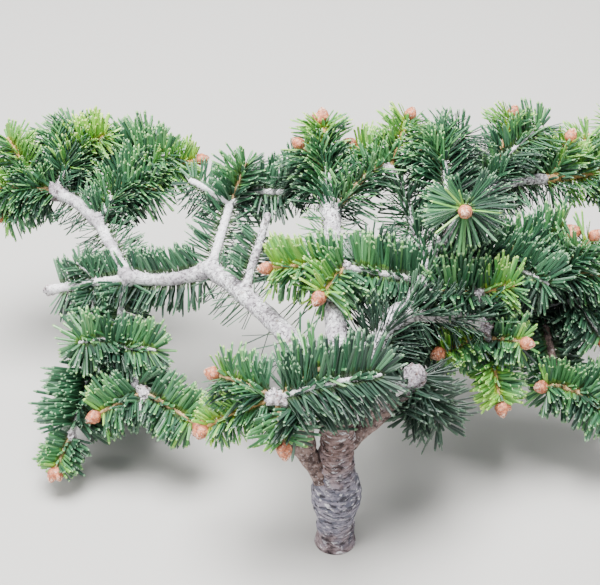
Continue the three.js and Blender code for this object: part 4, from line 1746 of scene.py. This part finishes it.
    def ages(self, share: np.ndarray, lower: np.ndarray, age: Age, has_older: bool,
             heart: bool, shade: float) -> np.ndarray:
        """Choose each needle's age, as its place among the ages; some step down as painted shade.

        Args:
            share: The needles' places along their path.
            lower: Which of them stand to the front of it, away from the light.
            age: Their usual age.
            has_older: Whether there are older ones near the path's root.
            heart: Whether those at the tip are younger.
            shade: The share of them given the darker colours of those one age older, as painted
                shade.

        Returns:
            One number for each needle.
        """
        dice, count = self.dice, len(share)
        place = np.full(count, list(Age).index(age))
        older = dice.random(count) < np.clip((0.55 - share) / 0.35, 0, 1)
        place = np.where(older & (place > 1) & has_older, place - 1, place)
        # Painted shade: needles below the twig, and a further share set by shade, take an older
        # age's darker colours.
        for likely, further in zip(self.painted_shade_below, (shade, 0.0)):
            darker = dice.random(count) < np.where(lower, likely, 0) + further
            place = np.where(darker & (place > 0), place - 1, place)
        younger = heart & (share > self.younger_from) & (place < len(Age) - 1)
        return np.where(younger, place + 1, place)

    def draw(self, name: str, clear_of: list[Stretch]) -> bpy.types.Object:
        """Draw the needles that keep clear of the ground and of other limbs.

        Args:
            name: The piece's name.
            clear_of: The spaces that they keep clear of.

        Returns:
            The piece.
        """
        needles = [np.concatenate(column) for column in zip(*self.batches)]
        root, aim, _, length, _, _ = needles
        keep = (root + aim * length[:, None])[:, 2] > self.lowest_tip
        for stretch in clear_of:
            keep &= ~stretch.entered(root, aim, length)
        root, aim, facing, length, shade, age = (column[keep] for column in needles)
        form = NeedleForm()
        points = form.points(root, (aim, np.cross(aim, facing), facing), length, self.dice)
        first = np.arange(len(root)) * points.shape[1] * points.shape[2]
        paints = form.paints(shade, *(np.array(numbers)[age] for numbers in (
            self.palette.feet, self.palette.undersides, self.palette.tips)))
        sketch = MeshSketch()
        sketch.add(points.reshape(-1, 3), (first[:, None, None] + form.faces()).reshape(-1, 4),
                   paints.reshape(-1))
        LOG.info("%s: %d needles", name, len(root))
        return sketch.build(name, self.palette.materials)


@dataclass
class Shrub:
    """The whole plant: builds every piece and hides the nodes that each replaces."""

    crown: Crown
    palette: NeedlePalette
    stretch_length: float = 12.0
    knob_view: float = 24.0
    bud_view: float = 16.0

    def declare(self, piece: bpy.types.Object, nodes: list[str]) -> None:
        """Make a piece ride on the plant and stand for its nodes.

        Args:
            piece: The piece.
            nodes: The nodes it replaces.
        """
        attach(piece, "root")
        if nodes:
            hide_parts(*nodes)

    def trunk(self) -> None:
        """Build the trunk."""
        sketch = MeshSketch()
        BarkedTrunk(self.crown.limbs["trunk"][1]).draw(sketch)
        self.declare(sketch.build("trunk_skin", [TrunkBark().build()]), ["trunk"])

    def limbs(self) -> None:
        """Build the boughs and the bare twigs, each kind as one piece."""
        knob_bark = KnobBark().build()
        kinds = (("bough_skins", "bough_bark", BoughBark()),
                 ("shaded_bough_skins", "bough_bark", ShadedBark()),
                 ("twig_skins", "twig_bark", BoughBark("pale_twig_bark")))
        for name, slot, bark in kinds:
            sketch = MeshSketch()
            members = [limb for limb in LIMBS if self.kind_of(limb) == name]
            for limb in members:
                bearer = self.crown.limbs[limb.on][0]
                BarkedLimb(limb, self.crown.limbs[limb.name][1], self.crown.children(limb.name),
                           taper(bearer, 0.5)).draw(sketch)
            piece = sketch.build(name, [bark.build(), knob_bark])
            self.declare(piece, [limb.name for limb in members])

    def kind_of(self, limb: Limb) -> str:
        """Name the piece that a limb's skin belongs to."""
        kind = "twig_skins" if limb.name.startswith("twig") else "bough_skins"
        return "shaded_bough_skins" if limb.name in SHADED_LIMBS else kind

    def shoots(self) -> None:
        """Build the skins of the twigs that the masses are made of, as one piece."""
        order = list(TWIG_BARKS)
        sketch = MeshSketch()
        for twig in self.crown.twigs():
            age = BARK_AGES.get(twig.shoot.age, twig.shoot.age)
            age = Age.OLD if twig.shoot.pale else age
            TwigSkin().draw(sketch, twig, order.index(age))
            if twig.knob:
                KnobForm().draw(sketch, twig, len(order))
        barks = [bark.build() for bark in (*TWIG_BARKS.values(), SHOOT_KNOB_BARK)]
        self.declare(sketch.build("shoot_skins", barks), [])

    def buds(self) -> None:
        """Build the buds at the tips of the shoots, as one piece."""
        sketch = MeshSketch()
        dice = np.random.default_rng(BUD_SEED)
        for twig in self.crown.twigs():
            self.bud_cluster(sketch, twig, dice)
        piece = sketch.build("buds", [scales.build() for scales in BUD_FINISHES])
        self.declare(piece, [])

    def bud_cluster(self, sketch: MeshSketch, twig: Twig, dice: np.random.Generator) -> None:
        """Add one shoot's buds to a sketch: one ahead, and others to its sides.

        Args:
            sketch: Where the buds go.
            twig: The shoot.
            dice: The draws for their sizes and turns.
        """
        along = twig.path.along(1.0)
        across, _ = twig.path.square(1.0)
        place = twig.path.end - along * 0.8
        for splay, size in list(zip(np.radians(BUD_SPLAYS), BUD_SIZES))[:twig.buds]:
            aim = along * math.cos(splay) + across * math.sin(splay)
            size = size * dice.uniform(0.92, 1.06) * twig.mass.bud
            BudForm().draw(sketch, place, aim, size, dice.uniform(0, 6))

    def obstacles(self) -> list[Stretch]:
        """Give every limb as straight stretches that needles keep clear of.

        Returns:
            The stretches, a little thinner than the limbs.
        """
        stretches = []
        for limb, path in self.crown.limbs.values():
            count = max(2, int(limb.length / self.stretch_length))
            for number in range(count):
                radius = taper(limb, (number + 0.5) / count) * 0.9
                stretches.append(Stretch(path.point(number / count),
                                         path.point((number + 1) / count), radius))
        return stretches

    def openings(self) -> list[Stretch]:
        """Give the spaces on the lit side of knobs and buds that needles keep clear of.

        Returns:
            The spaces, which run from the knobs and buds towards the light.
        """
        spaces = []
        for twig in self.crown.twigs():
            end = twig.path.end
            if twig.knob:
                spaces.append(Stretch(end, end + LIT_SIDE * self.knob_view, twig.knob * 0.8))
            if twig.buds:
                middle = end + twig.path.along(1.0) * BUD_LENGTH * 0.5
                spaces.append(Stretch(middle, middle + LIT_SIDE * self.bud_view,
                                      BUD_RADIUS * 0.9))
        return spaces

    def needles(self) -> None:
        """Build the needles, region by region, and let them replace the masses."""
        clear_of = self.obstacles() + self.openings()
        for number, region in enumerate(REGIONS):
            grower = NeedleGrower(self.palette, np.random.default_rng(NEEDLE_SEED + number))
            for mass in region.masses:
                for twig in self.crown.masses[mass]:
                    grower.clothe(twig)
            for row in NEEDLE_ROWS:
                if row.on in region.limbs:
                    limb, path = self.crown.limbs[row.on]
                    grower.row(row, path, limb)
            self.declare(grower.draw(region.name, clear_of), list(region.masses))


@dataclass(frozen=True)
class Lamp:
    """A square soft light, turned towards the shrub, with its place in metres."""

    name: str
    place: tuple[float, float, float]
    size: float
    watts: float
    target: tuple[float, float, float] = (0, 0.1, 0.06)

    def hang(self) -> None:
        """Hang the lamp."""
        data = bpy.data.lights.new(self.name, "AREA")
        data.size = self.size
        data.energy = self.watts
        lamp = bpy.data.objects.new(self.name, data)
        lamp.location = self.place
        aim = Vector(self.target) - Vector(self.place)
        lamp.rotation_euler = aim.to_track_quat("-Z", "Y").to_euler()
        bpy.context.scene.collection.objects.link(lamp)


@dataclass(frozen=True)
class Studio:
    """A pale floor, soft light and the camera at the photograph's angle, in metres."""

    floor_size: float = 6.0
    floor_colour: Colour = paint(186, 184, 180)
    sky_colour: Colour = (0.93, 0.96, 1.0, 1)
    sky_strength: float = 0.52
    lamps: tuple[Lamp, ...] = (Lamp("overhead", (-0.15, 0.12, 1.5), 0.9, 94),
                               Lamp("front_left", (-1.3, -0.7, 1.1), 0.8, 21),
                               Lamp("right", (1.3, 0.1, 1.0), 0.9, 6))
    camera_place: tuple[float, float, float] = (-0.0167, -0.470, 0.487)
    camera_pitch: float = 36.0
    lens: float = 84.0

    def build(self) -> None:
        """Build the floor, the lamps, the sky and the camera."""
        self.floor()
        for lamp in self.lamps:
            lamp.hang()
        self.sky()
        self.camera()

    def floor(self) -> None:
        """Lay the floor."""
        half = self.floor_size / 2
        mesh = bpy.data.meshes.new("floor")
        corners = [(-half, -half, 0), (half, -half, 0), (half, half, 0), (-half, half, 0)]
        mesh.from_pydata(corners, [], [(0, 1, 2, 3)])
        mesh.materials.append(Shader("pale_floor").finish(self.floor_colour, 0.9))
        floor = bpy.data.objects.new("floor", mesh)
        bpy.context.scene.collection.objects.link(floor)

    def sky(self) -> None:
        """Set the pale sky all round."""
        world = bpy.data.worlds.new("soft_sky")
        world.use_nodes = True
        background = world.node_tree.nodes["Background"]
        background.inputs[0].default_value = self.sky_colour
        background.inputs[1].default_value = self.sky_strength
        bpy.context.scene.world = world

    def camera(self) -> None:
        """Place the camera."""
        data = bpy.data.cameras.new("camera")
        data.lens = self.lens
        data.sensor_width = 36.0
        camera = bpy.data.objects.new("camera", data)
        camera.location = self.camera_place
        camera.rotation_euler = (math.radians(90 - self.camera_pitch), 0, 0)
        bpy.context.scene.collection.objects.link(camera)
        bpy.context.scene.camera = camera


def main() -> None:
    """Build the shrub and the studio around it."""
    logging.basicConfig(level=logging.INFO, format="%(name)s: %(message)s")
    shrub = Shrub(Crown().grow(), NeedlePalette())
    shrub.trunk()
    shrub.limbs()
    shrub.shoots()
    shrub.buds()
    shrub.needles()
    Studio().build()


if __name__ == "__main__":
    main()
